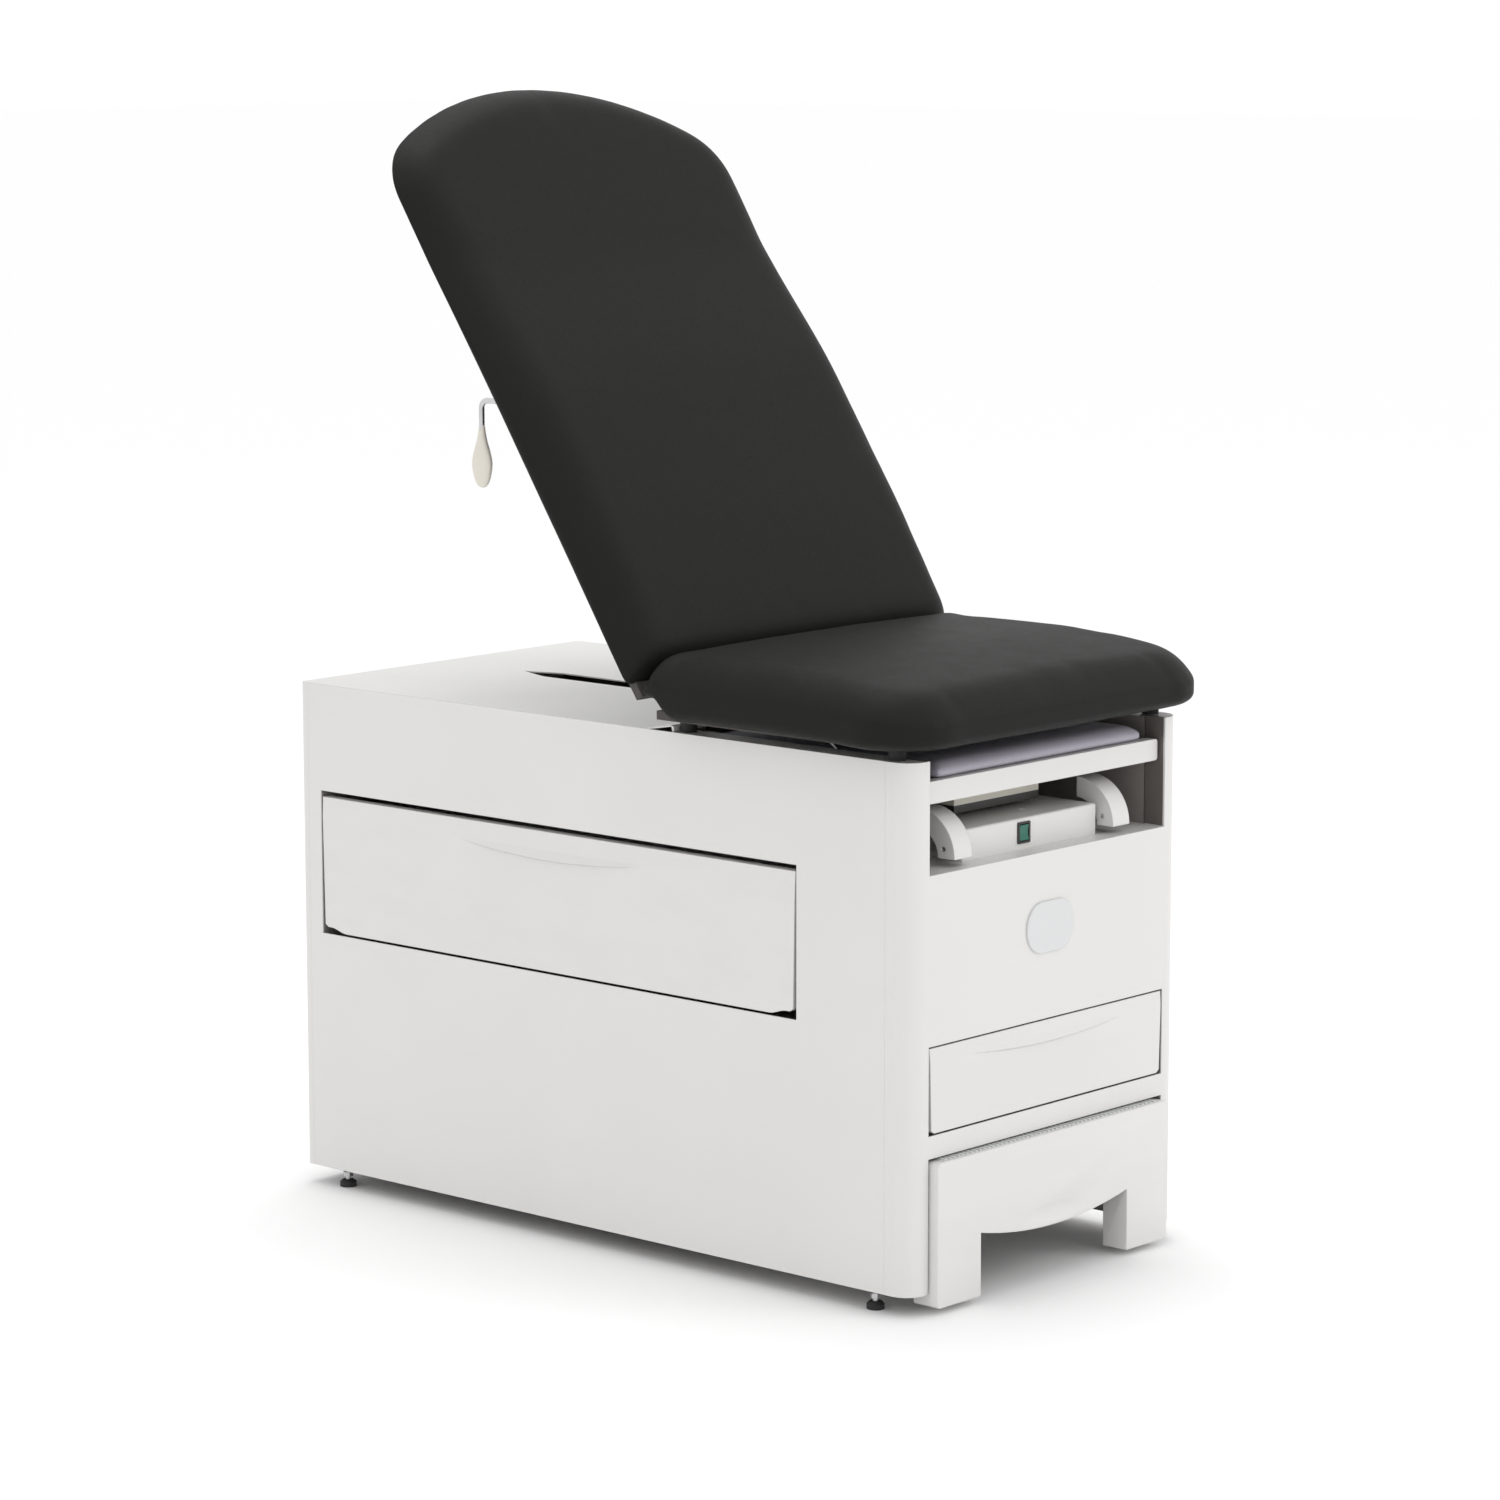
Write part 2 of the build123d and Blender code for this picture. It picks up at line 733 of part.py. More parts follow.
front_box_half = wall_offset - runner_depth - 5
front_box_d = (drawer_front_thickness, drawer_front_thickness + front_box_depth)
with BuildPart(cabinet) as front_drawer_box:
    block((-front_box_half, front_box_half), front_box_d, (front_box_low, front_box_high))
    block(
        (-front_box_half + drawer_wall, front_box_half - drawer_wall),
        (front_box_d[0] + drawer_wall, front_box_d[1] - drawer_wall),
        (front_box_low + drawer_wall, front_box_high + 1),
        Mode.SUBTRACT,
    )
front_drawer_box.part.label = "front_drawer_box"
export_step(front_drawer_box.part, "parts/front_drawer_box.step")

slide_outer = wall_offset - slide_gap
with BuildPart(cabinet) as front_drawer_slides:
    mirrored_block(
        (front_box_half, slide_outer),
        (front_box_d[0] + 1, front_box_d[1]),
        (front_slide_z - slide_height / 2, front_slide_z + slide_height / 2),
    )
front_drawer_slides.part.label = "front_drawer_slides"
export_step(front_drawer_slides.part, "parts/front_drawer_slides.step")

# ---------------------------------------------------------------- step
step_rear_half = front_box_half
step_side_low = 140.0
with BuildPart() as step_body:
    with BuildSketch(front_plane(-step_proud)):
        with Locations((0, (step_top + step_bottom) / 2)):
            RectangleRounded(2 * step_half, step_top - step_bottom, 6)
        with BuildLine():
            arch_half = step_half - step_leg_width
            left_foot = (-arch_half, step_bottom)
            left_spring = (-arch_half, step_arch_top)
            right_spring = (arch_half, step_arch_top)
            Line(left_foot, left_spring)
            ThreePointArc(left_spring, (0, step_arch_top - step_arch_sag), right_spring)
            Line(right_spring, (arch_half, step_bottom))
            Line((arch_half, step_bottom), left_foot)
        make_face(mode=Mode.SUBTRACT)
    extrude(amount=-step_leg_depth)
    with Locations(cabinet):
        block(
            (-arch_half, arch_half),
            (step_wall - step_proud, step_leg_depth),
            (step_bottom - 1, step_top - step_wall),
            Mode.SUBTRACT,
        )
        block((-step_rear_half, step_rear_half), (0, step_depth), (step_side_low, step_top))
        block(
            (-step_rear_half + step_wall, step_rear_half - step_wall),
            (-step_proud + step_wall, step_depth + 1),
            (step_side_low - 1, step_top - step_wall),
            Mode.SUBTRACT,
        )
step_body.part.label = "step_body"
export_step(step_body.part, "parts/step_body.step")

rib_count = int((2 * step_rear_half - 2 * step_wall) / rib_pitch)
tread_run = (step_wall - step_proud, step_depth - 12.0)
with BuildPart(cabinet) as step_tread:
    with Locations((0, sum(tread_run) / 2, step_top + rib_height / 2)):
        with GridLocations(rib_pitch, 0, rib_count, 1):
            Box(rib_width, tread_run[1] - tread_run[0], rib_height)
    block(
        (-step_rear_half + step_wall, step_rear_half - step_wall),
        tread_run,
        (step_top, step_top + 0.8),
    )
step_tread.part.label = "step_tread"
export_step(step_tread.part, "parts/step_tread.step")

with BuildPart(cabinet) as step_slides:
    mirrored_block(
        (step_rear_half, slide_outer),
        (step_leg_depth + 1, step_depth),
        (step_slide_z - slide_height / 2, step_slide_z + slide_height / 2),
    )
step_slides.part.label = "step_slides"
export_step(step_slides.part, "parts/step_slides.step")

# ---------------------------------------------------------------- leg rest
with BuildPart(cabinet) as leg_rest_bar:
    block((-bar_half, bar_half), (bar_recess, bar_recess + bar_thickness), (bar_low, bar_high))
    fillet(leg_rest_bar.edges().filter_by(Axis.Y), 5)
leg_rest_bar.part.label = "leg_rest_bar"
export_step(leg_rest_bar.part, "parts/leg_rest_bar.step")

tray_start = bar_recess + bar_thickness
slide_inner = wall_offset - runner_depth - 3
with BuildPart(cabinet) as leg_rest_tray:
    tray_half = slide_inner + sheet
    block((-tray_half, tray_half), (tray_start, tray_end), (bar_high - tray_thickness, bar_high))
leg_rest_tray.part.label = "leg_rest_tray"
export_step(leg_rest_tray.part, "parts/leg_rest_tray.step")

with BuildPart(cabinet) as leg_rest_slides:
    mirrored_block(
        (slide_inner, slide_outer),
        (tray_start, tray_end),
        (leg_slide_z - slide_height / 2, leg_slide_z + slide_height / 2),
    )
    mirrored_block(
        (slide_inner, slide_inner + sheet),
        (tray_start, tray_end),
        (leg_slide_z, bar_high - tray_thickness),
    )
leg_rest_slides.part.label = "leg_rest_slides"
export_step(leg_rest_slides.part, "parts/leg_rest_slides.step")

with BuildPart(cabinet) as leg_rest_pad:
    block(
        (-leg_pad_half, leg_pad_half),
        (bar_recess + 2, tray_end - 10),
        (bar_high + board_gap, bar_high + board_gap + leg_pad_thickness),
    )
    fillet(leg_rest_pad.edges().filter_by(Axis.X).group_by(Axis.Y)[0], 8)
leg_rest_pad.part.label = "leg_rest_pad"
export_step(leg_rest_pad.part, "parts/leg_rest_pad.step")

# ---------------------------------------------------------------- treatment pan
pan_run = (pan_front, pan_front + pan_depth)
with BuildPart(cabinet) as treatment_pan:
    block((-pan_half, pan_half), pan_run, (pan_bottom, pan_top))
    block(
        (-pan_half - pan_lip, pan_half + pan_lip),
        (pan_front - pan_lip, pan_run[1]),
        (pan_top - pan_wall, pan_top),
    )
    block(
        (-pan_half + pan_wall, pan_half - pan_wall),
        (pan_run[0] + pan_wall, pan_run[1] - pan_wall),
        (pan_bottom + pan_wall, pan_top + 1),
        Mode.SUBTRACT,
    )
    block(
        (-pan_half - pan_lip, pan_half + pan_lip),
        (pan_front - pan_lip, pan_front - pan_lip + pan_wall),
        (pan_top - 8, pan_top),
    )
treatment_pan.part.label = "treatment_pan"
export_step(treatment_pan.part, "parts/treatment_pan.step")

rail_web = pan_half + pan_lip + 2
strap_z = leg_slide_z - runner_height / 2 - sheet
ledge_top = pan_top - pan_wall - running_gap
with BuildPart(cabinet) as pan_rails:
    mirrored_block((pan_half + 1, rail_web), (pan_front + 10, pan_run[1] + 8), (ledge_top - sheet, ledge_top))
    mirrored_block((rail_web - sheet / 2, rail_web + sheet), (pan_front + 10, pan_run[1] + 8),
                   (ledge_top - sheet, strap_z))
    for strap_start in (pan_front + 110, pan_run[1] - 15):
        block((-wall_offset, wall_offset), (strap_start, strap_start + 20), (strap_z, strap_z + sheet))
pan_rails.part.label = "pan_rails"
export_step(pan_rails.part, "parts/pan_rails.step")

# ---------------------------------------------------------------- stirrups
sleeve_bore = running_gap
arm_middle_z = (arm_low + arm_high) / 2
arm_height = arm_high - arm_low
saddle_length = 30.0
cup_radius = cup_rear - cup_front
cup_band_width = 28.0
pin_recess = 1.0
with BuildPart(cabinet) as stirrup_sleeves:
    for side in (-1, 1):
        middle = side * cup_middle
        reach = arm_width / 2 + sleeve_bore + sleeve_wall
        rise = arm_height / 2 + sleeve_bore + sleeve_wall
        block(
            (middle - reach, middle + reach),
            (sleeve_start, sleeve_end),
            (arm_middle_z - rise, arm_middle_z + rise),
        )
        for start in (sleeve_start + 10, sleeve_end - 10 - saddle_length):
            block(
                (middle - reach, middle + reach),
                (start, start + saddle_length),
                (recess_floor, arm_middle_z - rise + 1),
            )
        block(
            (middle - arm_width / 2 - sleeve_bore, middle + arm_width / 2 + sleeve_bore),
            (sleeve_start - 1, sleeve_end + 1),
            (arm_low - sleeve_bore, arm_high + sleeve_bore),
            Mode.SUBTRACT,
        )
stirrup_sleeves.part.label = "stirrup_sleeves"
export_step(stirrup_sleeves.part, "parts/stirrup_sleeves.step")

for name in ("left", "right"):
    middle = side_sign(name) * cup_middle
    with BuildPart(cabinet) as stirrup_arm:
        block(
            (middle - arm_width / 2, middle + arm_width / 2),
            (cup_pin_depth - arm_height / 2, arm_end),
            (arm_low, arm_high),
        )
        front_edges = stirrup_arm.edges().filter_by(Axis.X).group_by(Axis.Y)[0]
        fillet(front_edges, arm_height / 2 - 1)
        with BuildSketch(side_plane(middle - cup_width / 2 + pin_recess)):
            with Locations((cup_pin_depth, cup_pin_z)):
                Circle(cup_pin_radius)
        extrude(amount=cup_width - 2 * pin_recess)
    stirrup_arm.part.label = f"{name}_stirrup_arm"
    export_step(stirrup_arm.part, f"parts/{name}_stirrup_arm.step")

    with BuildPart() as heel_cup:
        centre = (cup_rear, cup_bottom)
        inner_radius = cup_radius - cup_band_width
        with BuildSketch(side_plane(middle - cup_width / 2)):
            with Locations(centre):
                Circle(cup_radius)
                Circle(inner_radius, mode=Mode.SUBTRACT)
            with Locations((cup_rear - cup_radius / 2, cup_bottom + cup_radius / 2)):
                Rectangle(cup_radius, cup_radius, mode=Mode.INTERSECT)
        extrude(amount=cup_width)
        with BuildSketch(side_plane(middle - cup_width / 2 + cup_wall)):
            with Locations(centre):
                Circle(cup_radius - cup_wall)
            with Locations((cup_rear - cup_radius / 2, cup_bottom + cup_radius / 2)):
                Rectangle(cup_radius + 1, cup_radius + 1, mode=Mode.INTERSECT)
        extrude(amount=cup_width - 2 * cup_wall, mode=Mode.SUBTRACT)
        with BuildSketch(side_plane(middle - cup_width / 2 - 1)):
            with Locations((cup_pin_depth, cup_pin_z)):
                Circle(cup_pin_radius + bore_clearance)
        extrude(amount=cup_width + 2, mode=Mode.SUBTRACT)
    heel_cup.part.label = f"{name}_heel_cup"
    export_step(heel_cup.part, f"parts/{name}_heel_cup.step")

# ---------------------------------------------------------------- hinge of seat and back
ear_section = 2 * hinge_pin_radius
with BuildPart(cabinet) as hinge_carrier:
    block((-wall_offset, wall_offset), (beam_front, beam_rear), (beam_low, beam_high))
    block(
        (-wall_offset - 1, wall_offset + 1),
        (beam_front + sheet, beam_rear - sheet),
        (beam_low + sheet, beam_high - sheet),
        Mode.SUBTRACT,
    )
    for start in (ear_x, -ear_x - plate):
        with BuildSketch(side_plane(start)):
            with Locations((hinge_depth, hinge_height)):
                Circle(eye_radius)
            with BuildLine():
                Polyline(
                    (beam_front, beam_high),
                    (beam_rear, beam_high),
                    (hinge_depth + eye_radius, hinge_height),
                    (hinge_depth - eye_radius, hinge_height),
                    (beam_front - ear_section, beam_high + 2 * ear_section),
                    close=True,
                )
            make_face()
        extrude(amount=plate)
        pin_start = start - plate - 2 * running_gap - 1
        with BuildSketch(side_plane(pin_start)):
            with Locations((hinge_depth, hinge_height)):
                Circle(hinge_pin_radius)
        extrude(amount=2 * (start - pin_start) + plate)
hinge_carrier.part.label = "hinge_carrier"
export_step(hinge_carrier.part, "parts/hinge_carrier.step")

# ---------------------------------------------------------------- seat
seat_half = cushion_width / 2
board_top = seat_board_bottom + board_thickness
board_rear = beam_front - board_rear_gap
with BuildPart(cabinet) as seat_board:
    with BuildSketch(cabinet.offset(seat_board_bottom)) as board_plan:
        with Locations((0, (board_rear - seat_overhang + board_margin) / 2)):
            Rectangle(cushion_width - 2 * board_margin, board_rear + seat_overhang - board_margin)
        front_corners = board_plan.vertices().group_by(Axis.Y)[0]
        fillet(front_corners, seat_corner_radius - board_margin)
    extrude(amount=board_thickness)
seat_board.part.label = "seat_board"
export_step(seat_board.part, "parts/seat_board.step")

seat_rear = hinge_depth + seat_rear_gap
with BuildPart(cabinet) as seat_cushion:
    with BuildSketch(cabinet.offset(board_top + board_gap)) as cushion_plan:
        with Locations((0, (seat_rear - seat_overhang) / 2)):
            Rectangle(cushion_width, seat_rear + seat_overhang)
        fillet(cushion_plan.vertices().group_by(Axis.Y)[0], seat_corner_radius)
    extrude(amount=seat_top - board_top - board_gap)
    fillet(seat_cushion.edges().group_by(Axis.Z)[-1], cushion_round)
    with BuildSketch(side_plane(-seat_half - 1)):
        with BuildLine():
            Polyline(
                (seat_rear + 1, hinge_height),
                (seat_rear, hinge_height),
                (seat_rear - seat_rear_lean, seat_top + 1),
                (seat_rear + 1, seat_top + 1),
                close=True,
            )
        make_face()
        with BuildLine():
            undercut_top = board_top + board_gap + seat_undercut
            Polyline(
                (board_rear - 4, board_top),
                (seat_rear + 1, board_top),
                (seat_rear + 1, undercut_top),
                (board_rear + 2, undercut_top),
                close=True,
            )
        make_face()
    extrude(amount=cushion_width + 2, mode=Mode.SUBTRACT)
seat_cushion.part.label = "seat_cushion"
export_step(seat_cushion.part, "parts/seat_cushion.step")

seat_plate_x = ear_x - running_gap - plate
clip_start = prop_x + prop_radius + running_gap
clip_x = (clip_start, clip_start + clip_width)
with BuildPart(cabinet) as seat_brackets:
    with BuildSketch(side_plane(seat_plate_x)):
        with Locations((hinge_depth, hinge_height)):
            Circle(eye_radius)
        with BuildLine():
            Polyline(
                (hinge_depth - knuckle_length, seat_board_bottom),
                (hinge_depth - knuckle_length, seat_board_bottom - knuckle_depth),
                (hinge_depth - eye_radius, seat_board_bottom - knuckle_depth),
                (hinge_depth + eye_radius * 0.7, hinge_height - eye_radius * 0.7),
                (hinge_depth, hinge_height),
                (board_rear + 1, hinge_height),
                (board_rear + 1, seat_board_bottom),
                close=True,
            )
        make_face()
        with Locations((hinge_depth, hinge_height)):
            Circle(hinge_pin_radius + bore_clearance, mode=Mode.SUBTRACT)
    extrude(amount=plate)
    mirror(about=Plane.YZ)
    block(clip_x, (prop_depth - clip_half, prop_depth + clip_half), (prop_z - clip_below, seat_board_bottom))
    with BuildSketch(side_plane(prop_x - prop_radius)):
        with Locations((prop_depth, prop_z)):
            Circle(prop_pin_radius)
    extrude(amount=clip_x[0] + 1 - (prop_x - prop_radius))
seat_brackets.part.label = "seat_brackets"
export_step(seat_brackets.part, "parts/seat_brackets.step")

# ---------------------------------------------------------------- seat prop
prop_lean = math.radians(prop_angle)
prop_foot = (
    prop_x,
    front_y + prop_depth - prop_length * math.cos(prop_lean),
    prop_z - prop_length * math.sin(prop_lean),
)
prop_up = (0, math.cos(prop_lean), math.sin(prop_lean))
with BuildPart() as tilt_prop:
    with BuildSketch(Plane(origin=prop_foot, z_dir=prop_up)):
        Circle(prop_radius)
    extrude(amount=prop_length - prop_pin_radius - 0.5)
    with BuildSketch(side_plane(prop_x - prop_radius)):
        with Locations((prop_depth, prop_z)):
            Circle(prop_eye_radius)
    extrude(amount=2 * prop_radius)
    with BuildSketch(side_plane(prop_x - prop_radius - 1)):
        with Locations((prop_depth, prop_z)):
            Circle(prop_pin_radius + bore_clearance)
    extrude(amount=2 * prop_radius + 2, mode=Mode.SUBTRACT)
tilt_prop.part.label = "tilt_prop"
export_step(tilt_prop.part, "parts/tilt_prop.step")


# ---------------------------------------------------------------- back
def arched_outline(half_width, start, end, arch, corner):
    """Outline of the back: straight sides, a low arch at the head end, rounded corners."""
    shoulder = end - (arch - math.sqrt(arch**2 - half_width**2))
    with BuildSketch(mode=Mode.PRIVATE) as outline:
        with BuildLine():
            Line((-half_width, start), (half_width, start))
            Line((half_width, start), (half_width, shoulder))
            ThreePointArc((half_width, shoulder), (0, end), (-half_width, shoulder))
            Line((-half_width, shoulder), (-half_width, start))
        make_face()
        fillet(outline.vertices().group_by(Axis.Y)[-1], corner)
    return outline.sketch


board_front = board_thickness - back_below
with BuildPart() as back_board:
    with BuildSketch(back.offset(-back_below)):
        add(
            arched_outline(
                seat_half - board_margin,
                back_start + board_lift,
                back_length - board_margin,
                back_arch_radius,
                back_corner_radius - board_margin,
            )
        )
    extrude(amount=board_thickness)
back_board.part.label = "back_board"
export_step(back_board.part, "parts/back_board.step")

with BuildPart() as back_cushion:
    with BuildSketch(back.offset(board_front + board_gap)):
        add(arched_outline(seat_half, back_start, back_length, back_arch_radius, back_corner_radius))
    extrude(amount=back_above - board_front - board_gap)
    with BuildSketch(back_side_plane(-seat_half - 1)):
        with BuildLine():
            Polyline(
                (back_start - 1, board_front),
                (back_start, board_front),
                (back_nose_start, back_nose_rise),
                (back_nose_end, back_above + 1),
                (back_start - 1, back_above + 1),
                close=True,
            )
        make_face()
    extrude(amount=cushion_width + 2, mode=Mode.SUBTRACT)
back_cushion.part.label = "back_cushion"
export_step(back_cushion.part, "parts/back_cushion.step")

pin_half = cheek_gap + cheek + spring_pin_end
rail_low = -back_below - frame_rail
rail_x = (frame_rail_x - frame_rail / 2, frame_rail_x + frame_rail / 2)
hollow_x = (rail_x[0] + frame_wall, rail_x[1] - frame_wall)
hollow_n = (rail_low + frame_wall, -back_below - frame_wall)
shaft_place = (shaft_along, -shaft_below)
eye_place = (spring_high_along, -spring_tuck)
with BuildPart(back) as back_frame:
    mirrored_block(rail_x, (frame_start, frame_end), (rail_low, -back_below))
    for start in (frame_start, frame_middle, frame_end - frame_rail):
        block((-frame_rail_x, frame_rail_x), (start, start + frame_rail), (rail_low, -back_below))
    mirrored_block(hollow_x, (frame_start - 1, frame_end + 1), hollow_n, Mode.SUBTRACT)
    for start in (frame_start, frame_middle, frame_end - frame_rail):
        block(
            (-frame_rail_x, frame_rail_x),
            (start + frame_wall, start + frame_rail - frame_wall),
            hollow_n,
            Mode.SUBTRACT,
        )
    with BuildSketch(back_side_plane(cheek_gap)):
        with Locations(eye_place):
            Circle(eye_radius)
        with BuildLine():
            Polyline(
                (spring_high_along - 2 * eye_radius, -back_below),
                (frame_middle, -back_below),
                (frame_middle, rail_low),
                (spring_high_along + eye_radius, -spring_tuck - eye_radius * 0.3),
                (spring_high_along, -spring_tuck - eye_radius * 0.9),
                (spring_high_along - eye_radius, -spring_tuck),
                close=True,
            )
        make_face()
    extrude(amount=cheek)
    mirror(about=Plane.YZ)
    with BuildSketch(back_side_plane(-pin_half)):
        with Locations(eye_place):
            Circle(spring_pin_radius)
    extrude(amount=2 * pin_half)
    with BuildSketch(back_side_plane(-frame_rail_x - frame_rail)):
        with Locations(shaft_place):
            Circle(shaft_radius + bore_clearance)
    extrude(amount=frame_rail_x + 2 * frame_rail, mode=Mode.SUBTRACT)
back_frame.part.label = "back_frame"
export_step(back_frame.part, "parts/back_frame.step")

back_plate_x = ear_x + plate + running_gap
with BuildPart() as back_hinge_plates:
    with BuildSketch(back_side_plane(back_plate_x)):
        Circle(eye_radius)
        with BuildLine():
            Polyline(
                (0, -eye_radius * 0.5),
                (back_start + board_lift - 1, -eye_radius * 0.5),
                (back_start + board_lift - 1, -back_below),
                (knuckle_length, -back_below),
                (knuckle_length, -back_below - knuckle_depth),
                (eye_radius, -back_below - knuckle_depth),
                (-eye_radius * 0.7, -eye_radius * 0.7),
                close=True,
            )
        make_face()
        Circle(hinge_pin_radius + bore_clearance, mode=Mode.SUBTRACT)
    extrude(amount=plate)
    mirror(about=Plane.YZ)
back_hinge_plates.part.label = "back_hinge_plates"
export_step(back_hinge_plates.part, "parts/back_hinge_plates.step")

# ---------------------------------------------------------------- gas spring
spring_low = Vector(0, front_y + spring_low_d, spring_low_z)
spring_high = back.from_local_coords((0, spring_high_along, -spring_tuck))
spring_axis = (spring_high - spring_low).normalized()
spring_span = (spring_high - spring_low).length


def spring_plane(distance):
    """Plane square to the gas spring, this far from its lower pivot."""
    origin = spring_low + spring_axis * distance
    return Plane(origin=origin, x_dir=(1, 0, 0), z_dir=spring_axis)


def spring_eye(centre_distance, radius):
    """Circle of an eye of the gas spring, on a plane seen from the table's side."""
    centre = spring_low + spring_axis * centre_distance
    with Locations((centre.Y - front_y, centre.Z)):
        Circle(radius)


with BuildPart() as spring_base_bracket:
    with BuildSketch(side_plane(cheek_gap)):
        with Locations((spring_low_d, spring_low_z)):
            Circle(eye_radius)
        with BuildLine():
            Polyline(
                (spring_low_d - 2 * eye_radius, middle_shelf_top),
                (spring_low_d + 2 * eye_radius, middle_shelf_top),
                (spring_low_d + eye_radius, spring_low_z),
                (spring_low_d - eye_radius, spring_low_z),
                close=True,
            )
        make_face()
    extrude(amount=cheek)
    mirror(about=Plane.YZ)
    with Locations((0, front_y + spring_low_d, middle_shelf_top + sheet / 2)):
        Box(2 * cheek_gap + 2 * cheek + 24, 4 * eye_radius, sheet)
    with BuildSketch(side_plane(-pin_half)):
        spring_eye(0, spring_pin_radius)
    extrude(amount=2 * pin_half)
spring_base_bracket.part.label = "spring_base_bracket"
export_step(spring_base_bracket.part, "parts/spring_base_bracket.step")

cylinder_end = cylinder_start + cylinder_length
with BuildPart() as gas_cylinder:
    with BuildSketch(spring_plane(cylinder_start)):
        Circle(cylinder_radius)
    extrude(amount=cylinder_length)
    with BuildSketch(spring_plane(0)):
        Circle(spring_eye_radius - 1)
    extrude(amount=cylinder_start + 1)
    with BuildSketch(side_plane(-spring_eye_half)):
        spring_eye(0, spring_eye_radius)
    extrude(amount=2 * spring_eye_half)
    with BuildSketch(spring_plane(cylinder_start + 2 * cylinder_wall)):
        Circle(cylinder_radius - cylinder_wall)
    extrude(amount=cylinder_length - 2 * cylinder_wall - guide_length, mode=Mode.SUBTRACT)
    with BuildSketch(spring_plane(cylinder_end - guide_length - 1)):
        Circle(rod_radius + bore_clearance)
    extrude(amount=guide_length + 2, mode=Mode.SUBTRACT)
    with BuildSketch(side_plane(-cylinder_radius - 1)):
        spring_eye(0, spring_pin_radius + bore_clearance)
    extrude(amount=2 * cylinder_radius + 2, mode=Mode.SUBTRACT)
gas_cylinder.part.label = "gas_cylinder"
export_step(gas_cylinder.part, "parts/gas_cylinder.step")

rod_inner_end = spring_span - rod_length
with BuildPart() as gas_rod:
    with BuildSketch(spring_plane(rod_inner_end)):
        Circle(rod_radius)
    extrude(amount=rod_length)
    with BuildSketch(spring_plane(rod_inner_end)):
        Circle(cylinder_radius - cylinder_wall - bore_clearance)
    extrude(amount=piston_length)
    with BuildSketch(side_plane(-spring_eye_half)):
        spring_eye(spring_span, spring_eye_radius)
    extrude(amount=2 * spring_eye_half)
    with BuildSketch(side_plane(-spring_eye_half - 1)):
        spring_eye(spring_span, spring_pin_radius + bore_clearance)
    extrude(amount=2 * spring_eye_half + 2, mode=Mode.SUBTRACT)
gas_rod.part.label = "gas_rod"
export_step(gas_rod.part, "parts/gas_rod.step")

# ---------------------------------------------------------------- release lever
up = Vector(0, 0, 1)
rearward = Vector(0, 1, 0)
shaft_end = back.from_local_coords((lever_x, shaft_along, -shaft_below))
shaft_start = back.from_local_coords((pin_half, shaft_along, -shaft_below))
set_back = shaft_end + rearward * lever_set_back
rod_tip = set_back - up * lever_drop
tab_half = cheek_gap - 1.0
with BuildPart() as release_rod:
    with BuildLine() as rod_path:
        FilletPolyline(shaft_start, shaft_end, set_back, rod_tip, radius=lever_bend)
    with BuildSketch(Plane(origin=shaft_start, z_dir=(-1, 0, 0))):
        Circle(shaft_radius)
    sweep(path=rod_path.line)
    with BuildSketch(back_side_plane(-tab_half)):
        with BuildLine():
            Polyline(
                (shaft_along, -shaft_below + tab_root[1]),
                (spring_high_along + tab_reach, -spring_tuck + tab_rise[1]),
                (spring_high_along + tab_reach, -spring_tuck + tab_rise[0]),
                (shaft_along, -shaft_below - tab_root[0]),
                close=True,
            )
        make_face()
    extrude(amount=2 * tab_half)
release_rod.part.label = "release_rod"
export_step(release_rod.part, "parts/release_rod.step")

paddle_d = set_back.Y - front_y
paddle_top = rod_tip.Z + paddle_socket
big = paddle_width / 2
small = paddle_top_width / 2
with BuildPart() as release_paddle:
    with BuildSketch(side_plane(lever_x - paddle_thickness / 2)):
        with Locations((paddle_d, paddle_top - paddle_length + big)):
            Circle(big)
        with Locations((paddle_d, paddle_top - small)):
            Circle(small)
        make_hull()
    extrude(amount=paddle_thickness)
    fillet(release_paddle.faces().filter_by(Axis.X).edges(), paddle_round)
    with BuildSketch(Plane(origin=rod_tip, z_dir=(0, 0, 1))):
        Circle(shaft_radius)
    extrude(amount=lever_drop, mode=Mode.SUBTRACT)
release_paddle.part.label = "release_paddle"
export_step(release_paddle.part, "parts/release_paddle.step")
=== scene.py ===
"""Medical examination table: looks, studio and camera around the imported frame."""

from __future__ import annotations

import json
import logging
import math
from dataclasses import dataclass, field
from enum import Enum
from typing import Any, Callable, Iterable, Sequence

import bpy
import numpy as np
from mathutils import Matrix, Vector

